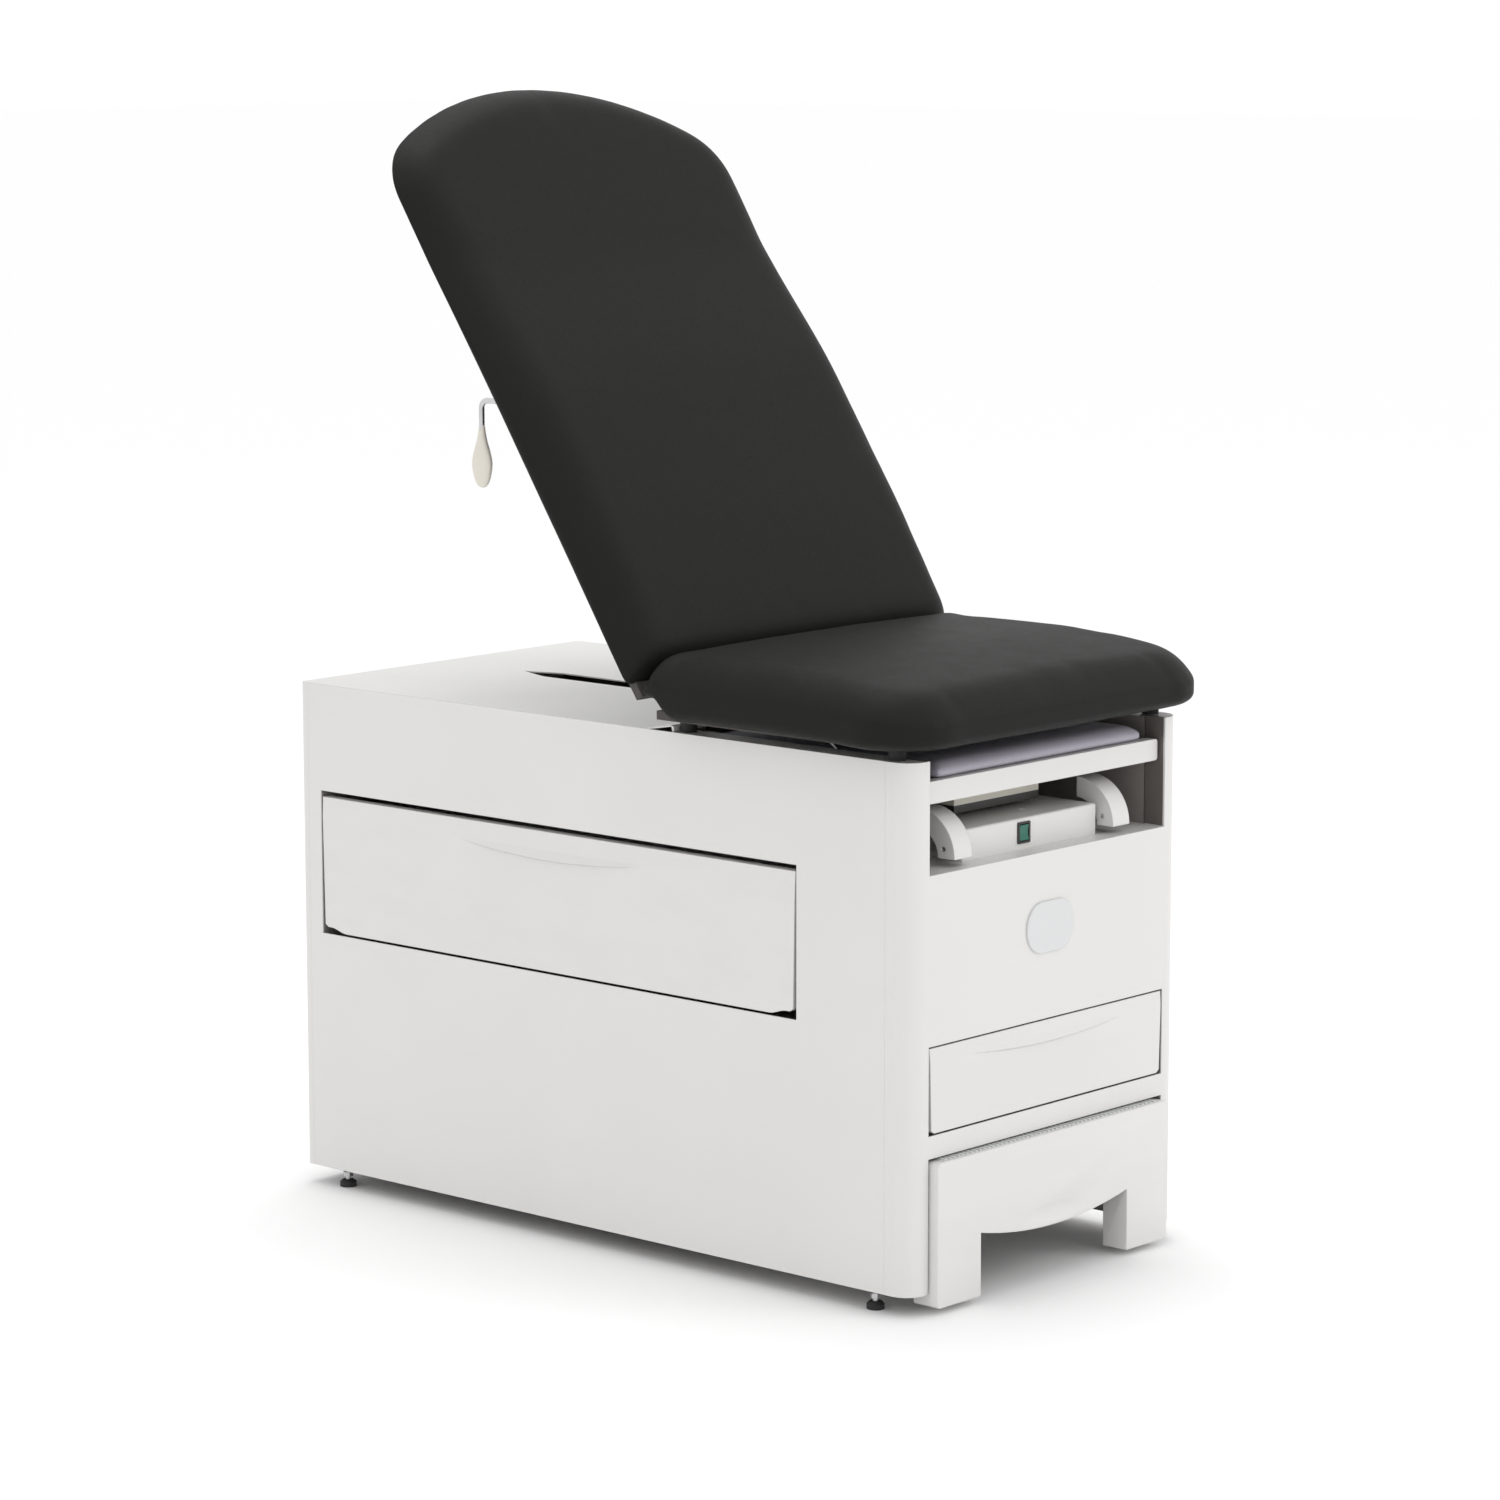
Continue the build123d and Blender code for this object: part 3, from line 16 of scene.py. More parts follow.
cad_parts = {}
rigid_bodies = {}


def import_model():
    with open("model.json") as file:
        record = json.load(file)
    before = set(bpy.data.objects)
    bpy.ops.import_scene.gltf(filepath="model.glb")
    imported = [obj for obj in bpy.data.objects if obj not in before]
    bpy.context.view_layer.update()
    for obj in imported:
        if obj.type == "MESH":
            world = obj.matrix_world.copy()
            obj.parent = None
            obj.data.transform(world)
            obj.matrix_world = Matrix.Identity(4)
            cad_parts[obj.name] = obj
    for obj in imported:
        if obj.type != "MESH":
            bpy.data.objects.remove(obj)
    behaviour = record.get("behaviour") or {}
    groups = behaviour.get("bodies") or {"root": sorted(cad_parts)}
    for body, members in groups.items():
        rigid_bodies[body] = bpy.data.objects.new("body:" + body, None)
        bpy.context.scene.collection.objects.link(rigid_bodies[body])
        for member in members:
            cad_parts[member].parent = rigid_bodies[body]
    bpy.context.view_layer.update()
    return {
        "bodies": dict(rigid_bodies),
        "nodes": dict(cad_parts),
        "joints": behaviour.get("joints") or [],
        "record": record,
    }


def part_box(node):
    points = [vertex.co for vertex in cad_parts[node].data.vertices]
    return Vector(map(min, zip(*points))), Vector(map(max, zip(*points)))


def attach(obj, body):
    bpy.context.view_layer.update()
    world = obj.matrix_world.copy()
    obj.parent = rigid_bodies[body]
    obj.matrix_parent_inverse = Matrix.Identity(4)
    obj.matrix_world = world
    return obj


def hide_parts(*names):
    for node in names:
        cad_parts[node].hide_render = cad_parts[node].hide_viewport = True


LOG = logging.getLogger("exam_table")
Colour = tuple[float, float, float]
Plane = tuple[Vector, Vector]

# Lengths in metres, in the table's own frame.
GRIP_RISE = 0.003
PAN_LIP = 0.647
RECESS_LOW = 0.586
RECESS_HALF = 0.256
FRONT_SKIN = -0.551
TONE_STEP = 0.0006
RECESS_STEP = 0.0004
LIP_STEP = 0.0004

# Sockets of the Mix node when it mixes colours.
MIX_SHARE, MIX_FIRST, MIX_SECOND, MIX_RESULT = 0, 6, 7, 2

CLOTH_FRAMES = 20
# Painted shade: a near black laid on the pan below its lip, where shade falls under the bar.
PAN_SHADE_COLOUR: Colour = (0.03, 0.028, 0.027)
# Painted shade: a dark brown-grey laid on the front wrapper's faces inside the recess, where shade
# falls.
RECESS_SHADE_COLOUR: Colour = (0.13, 0.116, 0.108)


# ---------------------------------------------------------------- shader graphs
class Value:
    """A node socket that takes part in arithmetic, so shader maths reads as formulas."""

    def __init__(self, graph: "Graph", socket: bpy.types.NodeSocket) -> None:
        """Wraps one output socket.

        Args:
            graph: the graph that owns the socket.
            socket: the output socket to wrap.
        """
        self.graph = graph
        self.socket = socket

    def _math(self, operation: str, *terms: Any) -> "Value":
        """Adds one Math node.

        Args:
            operation: the Math node's operation.
            terms: the node's inputs in order, values or numbers.

        Returns:
            The node's result.
        """
        sockets = dict(enumerate(terms))
        return self.graph.node("ShaderNodeMath", {"operation": operation}, sockets)

    def __add__(self, other: Any) -> "Value":
        """Sum."""
        return self._math("ADD", self, other)

    def __sub__(self, other: Any) -> "Value":
        """Difference."""
        return self._math("SUBTRACT", self, other)

    def __mul__(self, other: Any) -> "Value":
        """Product."""
        return self._math("MULTIPLY", self, other)

    def __rsub__(self, other: Any) -> "Value":
        """Difference from a number."""
        return self._math("SUBTRACT", other, self)

    __radd__ = __add__
    __rmul__ = __mul__

    def ramp(self, low: float, high: float) -> "Value":
        """Smooth step from 0 at low to 1 at high.

        Args:
            low: where the step starts.
            high: where it ends.

        Returns:
            The stepped value.
        """
        settings = {"interpolation_type": "SMOOTHSTEP"}
        sockets = {"Value": self, "From Min": low, "From Max": high}
        return self.graph.node("ShaderNodeMapRange", settings, sockets)


class Graph:
    """The node tree of one material."""

    def __init__(self, name: str) -> None:
        """Makes a material with a bare principled shader.

        Args:
            name: the material's name.
        """
        self.material = bpy.data.materials.new(name)
        self.material.use_nodes = True
        self.nodes = self.material.node_tree.nodes
        self.links = self.material.node_tree.links
        self.shader = self.nodes["Principled BSDF"]

    def node(
        self, kind: str, settings: dict[str, Any], sockets: dict[Any, Any], out: Any = 0
    ) -> Value:
        """Adds a node of any type.

        Args:
            kind: the node's type name.
            settings: properties of the node, set first.
            sockets: input name or index to a value, a number or a colour.
            out: name or index of the output that is returned.

        Returns:
            The wrapped output.
        """
        made = self.nodes.new(kind)
        for key, value in settings.items():
            setattr(made, key, value)
        for key, value in sockets.items():
            self.feed(made.inputs[key], value)
        return Value(self, made.outputs[out])

    def feed(self, socket: bpy.types.NodeSocket, value: Any) -> None:
        """Links a value into a socket, or sets a constant there.

        Args:
            socket: the input socket.
            value: a Value, a number or a colour of three numbers.
        """
        if isinstance(value, Value):
            self.links.new(value.socket, socket)
        elif isinstance(value, tuple) and len(value) == 3 and socket.type == "RGBA":
            socket.default_value = (*value, 1.0)
        else:
            socket.default_value = value

    def place(self) -> Value:
        """Object coordinates, in metres in the table's own frame."""
        return self.node("ShaderNodeTexCoord", {}, {}, "Object")

    def axes(self) -> tuple[Value, Value, Value]:
        """The three object coordinates, each by itself."""
        split = self.nodes.new("ShaderNodeSeparateXYZ")
        self.feed(split.inputs[0], self.place())
        return tuple(Value(self, out) for out in split.outputs)

    def height(self) -> Value:
        """Height above the floor in metres."""
        return self.axes()[2]

    def stretched(self, scale: tuple[float, float, float]) -> Value:
        """Object coordinates times a scale along each axis."""
        return self.node("ShaderNodeMapping", {}, {"Vector": self.place(), "Scale": scale})

    def noise(self, scale: float, detail: float = 3.0, where: Value | None = None) -> Value:
        """Noise about 0.5.

        Args:
            scale: cycles per metre.
            detail: octaves.
            where: coordinates, the object's own when left out.

        Returns:
            The noise value.
        """
        sockets = {"Vector": where or self.place(), "Scale": scale, "Detail": detail}
        return self.node("ShaderNodeTexNoise", {}, sockets)

    def blend(self, share: Any, first: Any, second: Any) -> Value:
        """Mixes two colours.

        Args:
            share: how much of the second.
            first: the first colour or value.
            second: the second colour or value.

        Returns:
            The mixed colour.
        """
        made = self.nodes.new("ShaderNodeMix")
        made.data_type = "RGBA"
        self.feed(made.inputs[MIX_SHARE], share)
        self.feed(made.inputs[MIX_FIRST], first)
        self.feed(made.inputs[MIX_SECOND], second)
        return Value(self, made.outputs[MIX_RESULT])

    def rounded_normal(self, radius: float) -> Value:
        """Normal that rounds off sharp edges by this radius."""
        return self.node("ShaderNodeBevel", {"samples": 4}, {"Radius": radius})

    def edge_mask(self, normal: Value) -> Value:
        """1 where the rounded normal leaves the true one, which is along the edges."""
        true = self.node("ShaderNodeNewGeometry", {}, {}, "Normal")
        dot = self.node(
            "ShaderNodeVectorMath", {"operation": "DOT_PRODUCT"}, {0: normal, 1: true}, "Value"
        )
        return (1.0 - dot).ramp(0.02, 0.25)

    def bump(
        self, height: Value, strength: float, depth: float, normal: Value | None = None
    ) -> Value:
        """Bump from a height.

        Args:
            height: the height value.
            strength: share of the effect.
            depth: real depth of the relief in metres.
            normal: normal that it starts from.

        Returns:
            The bumped normal.
        """
        sockets = {"Height": height, "Strength": strength, "Distance": depth}
        if normal:
            sockets["Normal"] = normal
        return self.node("ShaderNodeBump", {}, sockets)

    def surface(self, **sockets: Any) -> None:
        """Feeds the principled shader; underscores in the names stand for spaces."""
        for key, value in sockets.items():
            self.feed(self.shader.inputs[key.replace("_", " ")], value)


# ---------------------------------------------------------------- finishes
@dataclass(frozen=True)
class Paint:
    """Powder-coated sheet steel."""

    name: str
    colour: Colour
    roughness: float = 0.36
    peel: float = 0.16
    edge: float = 0.0009
    recess_shaded: bool = False

    def material(self) -> bpy.types.Material:
        """Builds the paint with its orange peel, faint mottling, thinner coat on the edges and,
        when asked, painted shade on the faces inside the front recess.
        """
        g = Graph(self.name)
        normal = g.rounded_normal(self.edge)
        worn = g.edge_mask(normal)
        cloud = g.noise(5.0, 2.0)
        scuff = g.noise(60.0, 5.0).ramp(0.62, 0.8)
        dull = tuple(c * 0.97 for c in self.colour)
        base = g.blend(cloud.ramp(0.3, 0.7) * 0.5, self.colour, dull)
        base = g.blend(worn * 0.35, base, tuple(c * 0.8 for c in self.colour))
        # Painted shade: the front wrapper's faces behind its front skin, above the recess floor and
        # between the recess sides turn dark brown-grey.
        if self.recess_shaded:
            across, along, up = g.axes()
            behind = along.ramp(FRONT_SKIN, FRONT_SKIN + TONE_STEP)
            above = up.ramp(RECESS_LOW, RECESS_LOW + TONE_STEP)
            beside = (across * across).ramp(RECESS_HALF**2, RECESS_HALF**2 + RECESS_STEP)
            inner = behind * above * (1.0 - beside)
            base = g.blend(inner, base, RECESS_SHADE_COLOUR)
        peel = g.noise(420.0, 2.0) + g.noise(1500.0, 1.0) * 0.3
        g.surface(
            Base_Color=base,
            Roughness=self.roughness + (cloud - 0.5) * 0.12 + scuff * 0.08 + worn * 0.1,
            Normal=g.bump(peel, self.peel, 0.00012, normal),
        )
        return g.material


@dataclass(frozen=True)
class Vinyl:
    """Upholstery vinyl with a fine embossed grain."""

    name: str
    colour: Colour
    roughness: float = 0.46
    grain: float = 620.0
    relief: float = 0.00022
    shine: float = 0.12

    def material(self) -> bpy.types.Material:
        """Builds the vinyl: pebbled grain, slow waves of tension and a slightly polished crown."""
        g = Graph(self.name)
        cells = g.node(
            "ShaderNodeTexVoronoi",
            {"feature": "DISTANCE_TO_EDGE"},
            {"Vector": g.place(), "Scale": self.grain},
        )
        pebble = cells.ramp(0.0, 0.16)
        fine = g.noise(2400.0, 2.0)
        wave = g.noise(9.0, 2.0)
        rubbed = g.noise(26.0, 4.0).ramp(0.3, 0.9)
        light = tuple(min(1.0, c * 1.14) for c in self.colour)
        deep = tuple(c * 0.8 for c in self.colour)
        base = g.blend(pebble, deep, g.blend(rubbed * 0.5, self.colour, light))
        height = pebble * 0.7 + fine * 0.3
        tension = g.bump(wave, 0.12, 0.004)
        g.surface(
            Base_Color=base,
            Roughness=self.roughness + (1.0 - pebble) * 0.16 + (rubbed - 0.5) * 0.04,
            Normal=g.bump(height, 0.32, self.relief, tension),
            Specular_IOR_Level=self.shine,
        )
        return g.material


@dataclass(frozen=True)
class Plastic:
    """Moulded plastic with a light spark texture."""

    name: str
    colour: Colour
    roughness: float = 0.34
    texture: float = 0.12
    edge: float = 0.0008
    shade_below: float | None = None

    def material(self) -> bpy.types.Material:
        """Builds the plastic: spark texture, flow marks, soft edges, painted shade below a lip."""
        g = Graph(self.name)
        normal = g.rounded_normal(self.edge)
        flow = g.noise(3.0, 3.0, g.stretched((1.0, 4.0, 9.0)))
        spark = g.noise(1900.0, 2.0)
        dull = tuple(c * 0.96 for c in self.colour)
        base = g.blend(flow.ramp(0.35, 0.7) * 0.4, self.colour, dull)
        # Painted shade: below the given height the colour turns near black, standing in for the
        # shade under the pan's lip.
        if self.shade_below is not None:
            under = 1.0 - g.height().ramp(self.shade_below - LIP_STEP, self.shade_below)
            base = g.blend(under, base, PAN_SHADE_COLOUR)
        g.surface(
            Base_Color=base,
            Roughness=self.roughness + (flow - 0.5) * 0.14,
            Normal=g.bump(spark, self.texture, 0.00008, normal),
        )
        return g.material


@dataclass(frozen=True)
class Metal:
    """Plated or bare steel."""

    name: str
    colour: Colour
    roughness: float = 0.3
    brushing: tuple[float, float, float] = (900.0, 12.0, 900.0)

    def material(self) -> bpy.types.Material:
        """Builds the metal: drawn lines along the part and cloudy plating."""
        g = Graph(self.name)
        normal = g.rounded_normal(0.0005)
        lines = g.noise(1.0, 3.0, g.stretched(self.brushing))
        cloud = g.noise(35.0, 4.0)
        dark = tuple(c * 0.7 for c in self.colour)
        g.surface(
            Base_Color=g.blend(cloud.ramp(0.4, 0.75) * 0.5, self.colour, dark),
            Metallic=1.0 - cloud.ramp(0.7, 0.85) * 0.25,
            Roughness=self.roughness + (lines - 0.5) * 0.2 + (cloud - 0.5) * 0.15,
            Normal=g.bump(lines, 0.2, 0.00005, normal),
        )
        return g.material


@dataclass(frozen=True)
class Rubber:
    """Moulded rubber."""

    name: str
    colour: Colour = (0.018, 0.018, 0.019)

    def material(self) -> bpy.types.Material:
        """Builds the rubber: matte, with bloom in patches and a coarse skin."""
        g = Graph(self.name)
        bloom = g.noise(120.0, 4.0)
        skin = g.noise(1400.0, 3.0)
        pale = tuple(c * 2.2 + 0.004 for c in self.colour)
        g.surface(
            Base_Color=g.blend(bloom.ramp(0.5, 0.8) * 0.5, self.colour, pale),
            Roughness=0.72 + (bloom - 0.5) * 0.2,
            Normal=g.bump(skin, 0.3, 0.0001, g.rounded_normal(0.0008)),
        )
        return g.material


@dataclass(frozen=True)
class Board:
    """Plywood behind the upholstery, stained dark."""

    name: str
    colour: Colour

    def material(self) -> bpy.types.Material:
        """Builds the board: long figure across the sheet and open pores."""
        g = Graph(self.name)
        figure = g.node(
            "ShaderNodeTexWave",
            {"bands_direction": "X"},
            {
                "Vector": g.stretched((18.0, 2.0, 2.0)),
                "Scale": 1.0,
                "Distortion": 5.0,
                "Detail": 4.0,
            },
            "Fac",
        )
        pores = g.noise(1.0, 2.0, g.stretched((1800.0, 60.0, 60.0)))
        dark = tuple(c * 0.55 for c in self.colour)
        g.surface(
            Base_Color=g.blend(figure * 0.8, self.colour, dark),
            Roughness=0.6 + (pores - 0.5) * 0.3,
            Normal=g.bump(pores, 0.3, 0.0001, g.rounded_normal(0.0008)),
        )
        return g.material


class Coat(Enum):
    """Every finish on the table, by what it covers."""

    # Painted shade on the faces inside the front recess.
    WRAPPER = Paint("front_wrapper_enamel", (0.69, 0.682, 0.669), recess_shaded=True)
    CABINET = Paint("cabinet_enamel", (0.69, 0.682, 0.669))
    INSIDE = Paint("inner_sheet_enamel", (0.25, 0.232, 0.218), 0.45, 0.2)
    BLACK_FRAME = Paint("black_frame_enamel", (0.016, 0.016, 0.017), 0.4, 0.2)
    CHARCOAL = Vinyl("charcoal_vinyl_cover", (0.0125, 0.0125, 0.0116), 0.52)
    PAD_GREY = Vinyl("grey_vinyl_cover", (0.40, 0.385, 0.44), 0.5, 700.0, shine=0.3)
    WHITE = Plastic("white_moulding", (0.70, 0.692, 0.682), 0.34, 0.12, 0.0016)
    DRAWER = Plastic("drawer_moulding", (0.685, 0.677, 0.666), 0.33, 0.1, 0.0014)
    TRAY = Plastic("drawer_tray_moulding", (0.6, 0.61, 0.6), 0.5)
    # Painted shade on the pan below its lip.
    IVORY = Plastic("ivory_moulding", (0.74, 0.72, 0.63), 0.3, shade_below=PAN_LIP)
    BEIGE = Plastic("beige_handle_moulding", (0.70, 0.665, 0.59), 0.42, 0.2)
    BLACK = Plastic("black_moulding", (0.012, 0.012, 0.013), 0.35)
    GREEN = Plastic("green_rocker_moulding", (0.004, 0.13, 0.085), 0.16, 0.03)
    BADGE = Paint("badge_plate", (0.64, 0.645, 0.65), 0.22, 0.03, 0.0014)
    ZINC = Metal("zinc_plated_steel", (0.62, 0.62, 0.63))
    ROD = Metal("polished_rod_steel", (0.7, 0.7, 0.71), 0.14, (60.0, 60.0, 900.0))
    BUMPER = Rubber("black_rubber")
    PLY = Board("stained_plywood", (0.05, 0.045, 0.04))

    def paint(self, piece: bpy.types.Object) -> None:
        """Covers a piece with this finish, whose material is built once.

        Args:
            piece: the object to cover.
        """
        made = bpy.data.materials.get(self.value.name) or self.value.material()
        if not piece.material_slots:
            piece.data.materials.append(made)
        for place in piece.material_slots:
            place.material = made


DRESS: dict[Coat, tuple[str, ...]] = {
    Coat.WRAPPER: ("front_wrapper",),
    Coat.CABINET: (
        "rear_wrapper", "left_side_panel", "right_side_panel", "deck", "recess_shelf",
        "leg_rest_bar", "switch_housing",
    ),
    Coat.INSIDE: (
        "upper_walls", "middle_shelf", "lower_shelf", "front_cross_wall", "rear_cross_wall",
        "base_rails", "lower_walls", "hinge_carrier", "seat_brackets", "back_hinge_plates",
        "leg_rest_tray", "pan_rails", "stirrup_sleeves", "spring_base_bracket",
    ),
    Coat.BLACK_FRAME: ("back_frame", "gas_cylinder"),
    Coat.WHITE: ("left_heel_cup", "right_heel_cup"),
    Coat.TRAY: ("side_drawer_box", "front_drawer_box", "step_tread"),
    Coat.IVORY: ("treatment_pan",),
    Coat.BEIGE: ("release_paddle",),
    Coat.BLACK: ("switch_bezel", "power_inlet"),
    Coat.GREEN: ("rocker_switch",),
    Coat.BADGE: ("front_badge",),
    Coat.ZINC: (
        "front_drawer_runners", "step_runners", "leg_rest_runners", "side_drawer_runners",
        "side_drawer_slides", "front_drawer_slides", "step_slides", "leg_rest_slides", "foot_studs",
        "left_stirrup_arm", "right_stirrup_arm", "tilt_prop", "release_rod",
    ),
    Coat.ROD: ("gas_rod",),
    Coat.BUMPER: ("foot_pads", "seat_bumpers", "drawer_warmer"),
    Coat.PLY: ("seat_board", "back_board"),
}


# ---------------------------------------------------------------- bench: modelling tools
class Bench:
    """Modelling steps that several pieces share."""

    @staticmethod
    def clear() -> None:
        """Deselects everything."""
        bpy.ops.object.select_all(action="DESELECT")

    @staticmethod
    def grab(piece: bpy.types.Object) -> None:
        """Makes a piece the only selected and active one."""
        Bench.clear()
        piece.select_set(True)
        bpy.context.view_layer.objects.active = piece

    @staticmethod
    def block(name: str, low: Sequence[float], high: Sequence[float]) -> bpy.types.Object:
        """Adds a block between two corners, as a start for a piece.

        Args:
            name: the piece's name.
            low: lowest corner in metres.
            high: highest corner in metres.

        Returns:
            The new object, at the origin with its place in its mesh.
        """
        Bench.clear()
        bpy.ops.mesh.primitive_cube_add(size=1.0)
        piece = bpy.context.object
        piece.name = name
        low_corner, high_corner = Vector(low), Vector(high)
        size = high_corner - low_corner
        middle = (low_corner + high_corner) / 2
        piece.data.transform(Matrix.Translation(middle) @ Matrix.Diagonal((*size, 1.0)))
        return piece

    @staticmethod
    def trim(piece: bpy.types.Object, planes: Iterable[Plane]) -> None:
        """Cuts a piece by planes and closes each cut; what lies along the normals goes.

        Args:
            piece: the piece to cut.
            planes: point and normal of each plane.
        """
        Bench.grab(piece)
        bpy.ops.object.mode_set(mode="EDIT")
        for point, normal in planes:
            bpy.ops.mesh.select_all(action="SELECT")
            bpy.ops.mesh.bisect(plane_co=point, plane_no=normal, use_fill=True, clear_outer=True)
        bpy.ops.mesh.select_all(action="SELECT")
        bpy.ops.mesh.normals_make_consistent(inside=False)
        bpy.ops.object.mode_set(mode="OBJECT")

    @staticmethod
    def apply(piece: bpy.types.Object, kind: str, **settings: Any) -> None:
        """Adds a modifier and applies it.

        Args:
            piece: the piece.
            kind: the modifier's type.
            settings: its properties.
        """
        Bench.grab(piece)
        made = piece.modifiers.new(kind.lower(), kind)
        for key, value in settings.items():
            setattr(made, key, value)
        bpy.ops.object.modifier_apply(modifier=made.name)

    @staticmethod
    def points(piece: bpy.types.Object) -> np.ndarray:
        """The piece's vertices as an array of rows."""
        flat = np.zeros(len(piece.data.vertices) * 3)
        piece.data.vertices.foreach_get("co", flat)
        return flat.reshape(-1, 3)

    @staticmethod
    def put(piece: bpy.types.Object, places: np.ndarray) -> None:
        """Moves the piece's vertices to new places."""
        piece.data.vertices.foreach_set("co", places.ravel())
        piece.data.update()

    @staticmethod
    def press(piece: bpy.types.Object, shape: Callable[[np.ndarray], np.ndarray]) -> None:
        """Reshapes a piece by a function of its vertices.

        Args:
            piece: the piece.
            shape: takes and returns rows of places.
        """
        Bench.put(piece, shape(Bench.points(piece)))

    @staticmethod
    def swell(piece: bpy.types.Object, pressure: float, cap: float) -> None:
        """Fills a closed cover by a cloth simulation, with a limit on how far it may move.

        Args:
            piece: the closed cover.
            pressure: the cloth's pressure.
            cap: furthest that a point may move, in metres.
        """
        Bench.grab(piece)
        before = Bench.points(piece)
        cover = piece.modifiers.new("cover", "CLOTH")
        cover.settings.quality = 5
        cover.settings.use_pressure = True
        cover.settings.uniform_pressure_force = pressure
        cover.settings.effector_weights.gravity = 0.0
        cover.collision_settings.use_collision = False
        cover.collision_settings.use_self_collision = False
        scene = bpy.context.scene
        for frame in range(1, CLOTH_FRAMES + 1):
            scene.frame_set(frame)
        bpy.ops.object.modifier_apply(modifier=cover.name)
        scene.frame_set(1)
        moved = Bench.points(piece) - before
        length = np.linalg.norm(moved, axis=1, keepdims=True)
        share = np.minimum(1.0, cap / np.maximum(length, 1e-9))
        Bench.put(piece, before + moved * share)

    @staticmethod
    def copy_node(name: str, node: bpy.types.Object) -> bpy.types.Object:
        """Copies a CAD node as the start of a piece, with its loose triangles merged.

        Args:
            name: the new piece's name.
            node: the CAD node.

        Returns:
            The copy, as a clean closed mesh of flat faces.
        """
        piece = bpy.data.objects.new(name, node.data.copy())
        bpy.context.scene.collection.objects.link(piece)
        piece.data.materials.clear()
        Bench.grab(piece)
        bpy.ops.object.mode_set(mode="EDIT")
        bpy.ops.mesh.select_all(action="SELECT")
        bpy.ops.mesh.remove_doubles(threshold=0.00002)
        bpy.ops.mesh.dissolve_limited(angle_limit=math.radians(0.6))
        bpy.ops.object.mode_set(mode="OBJECT")
        return piece

    @staticmethod
    def finish(piece: bpy.types.Object, coat: Coat, body: str, slot: str, *replaced: str) -> None:
        """Covers a piece, hands it to its body and hides the CAD nodes that it stands for.

        Args:
            piece: the finished piece.
            coat: its finish.
            body: the body it moves with.
            slot: the record's material slot; not used.
            replaced: CAD nodes that it stands for.
        """
        coat.paint(piece)
        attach(piece, body)
        if replaced:
            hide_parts(*replaced)
        LOG.info("%s rides on %s with %d faces", piece.name, body, len(piece.data.polygons))


def smooth(share: np.ndarray) -> np.ndarray:
    """Smooth step of a share held between 0 and 1."""
    held = np.clip(share, 0.0, 1.0)
    return held * held * (3.0 - 2.0 * held)


# ---------------------------------------------------------------- upholstery
@dataclass
class Upholstery:
    """A padded cover on its own flat frame: x across, y along, z out of the seat's face."""

    name: str
    body: str
    node: str
    slot: str
    coat: Coat
    half_width: float
    length: tuple[float, float]
    thickness: tuple[float, float]
    crown: float = 0.006
    roll: float = 0.095
    roll_drop: float = 0.036
    belly: float = 0.014
    voxel: float = 0.008
    cap: float = 0.004
    fill: float = 0.85
    pressure: float = 4.0
    roll_power: float = 2.6
    belly_lift: float = 0.55

    def corner_planes(self) -> list[Plane]:
        """Planes that round the outline, as point and outward normal."""
        return []

    def end_planes(self) -> list[Plane]:
        """Planes that cut the end that meets the other cushion."""
        return []

    def edge_distance(self, x: np.ndarray, y: np.ndarray) -> np.ndarray:
        """Distance of plan points from the rolled edges of the outline.

        Args:
            x: across.
            y: along.

        Returns:
            How far inside the outline each point lies, in metres.
        """
        raise NotImplementedError

    def front(self, x: np.ndarray, y: np.ndarray) -> np.ndarray:
        """Height of the padded face, before its edges roll away."""
        return np.full_like(x, self.thickness[1]) + self.crown * (1.0 - (x / self.half_width) ** 2)

    def rear(self, x: np.ndarray, y: np.ndarray) -> np.ndarray:
        """Height of the face on the board."""
        return np.full_like(x, self.thickness[0])

    def rolled(self, rows: np.ndarray) -> np.ndarray:
        """Rolls the edges: the face falls away over the roll, the underside lifts a little.

        Args:
            rows: places in the cushion's own frame.

        Returns:
            The new places.
        """
        x, y, z = rows.T
        inside = np.maximum(self.edge_distance(x, y), 0.0)
        low, high = self.thickness
        share = np.clip((z - low) / (high - low), 0.0, 1.0)
        away = np.clip(1.0 - inside / self.roll, 0.0, 1.0)
        top = self.front(x, y) - self.roll_drop * away**self.roll_power
        under = np.clip(1.0 - inside / self.belly, 0.0, 1.0)
        bottom = self.rear(x, y) + self.belly * self.belly_lift * under**2.0
        return np.column_stack((x, y, bottom + share * (top - bottom)))

    def own_frame(self) -> Matrix:
        """Places the cushion's own frame in the table's."""
        return Matrix.Identity(4)

    def build(self) -> bpy.types.Object:
        """Models, fills and covers the cushion.

        Returns:
            The finished piece.
        """
        low, high = self.thickness
        piece = Bench.block(
            self.name,
            (-self.half_width, self.length[0], low),
            (self.half_width, self.length[1], high),
        )
        Bench.trim(piece, self.corner_planes() + self.end_planes())
        Bench.apply(piece, "REMESH", mode="VOXEL", voxel_size=self.voxel, use_smooth_shade=True)
        Bench.press(piece, self.rolled)
        Bench.apply(piece, "SMOOTH", factor=0.5, iterations=6)
        Bench.swell(piece, self.pressure, self.cap)
        Bench.apply(piece, "SMOOTH", factor=0.5, iterations=4)
        Bench.apply(piece, "SUBSURF", levels=1, render_levels=1)
        piece.data.transform(self.own_frame())
        Bench.grab(piece)
        bpy.ops.object.shade_smooth()
        Bench.finish(piece, self.coat, self.body, self.slot, self.node)
        return piece


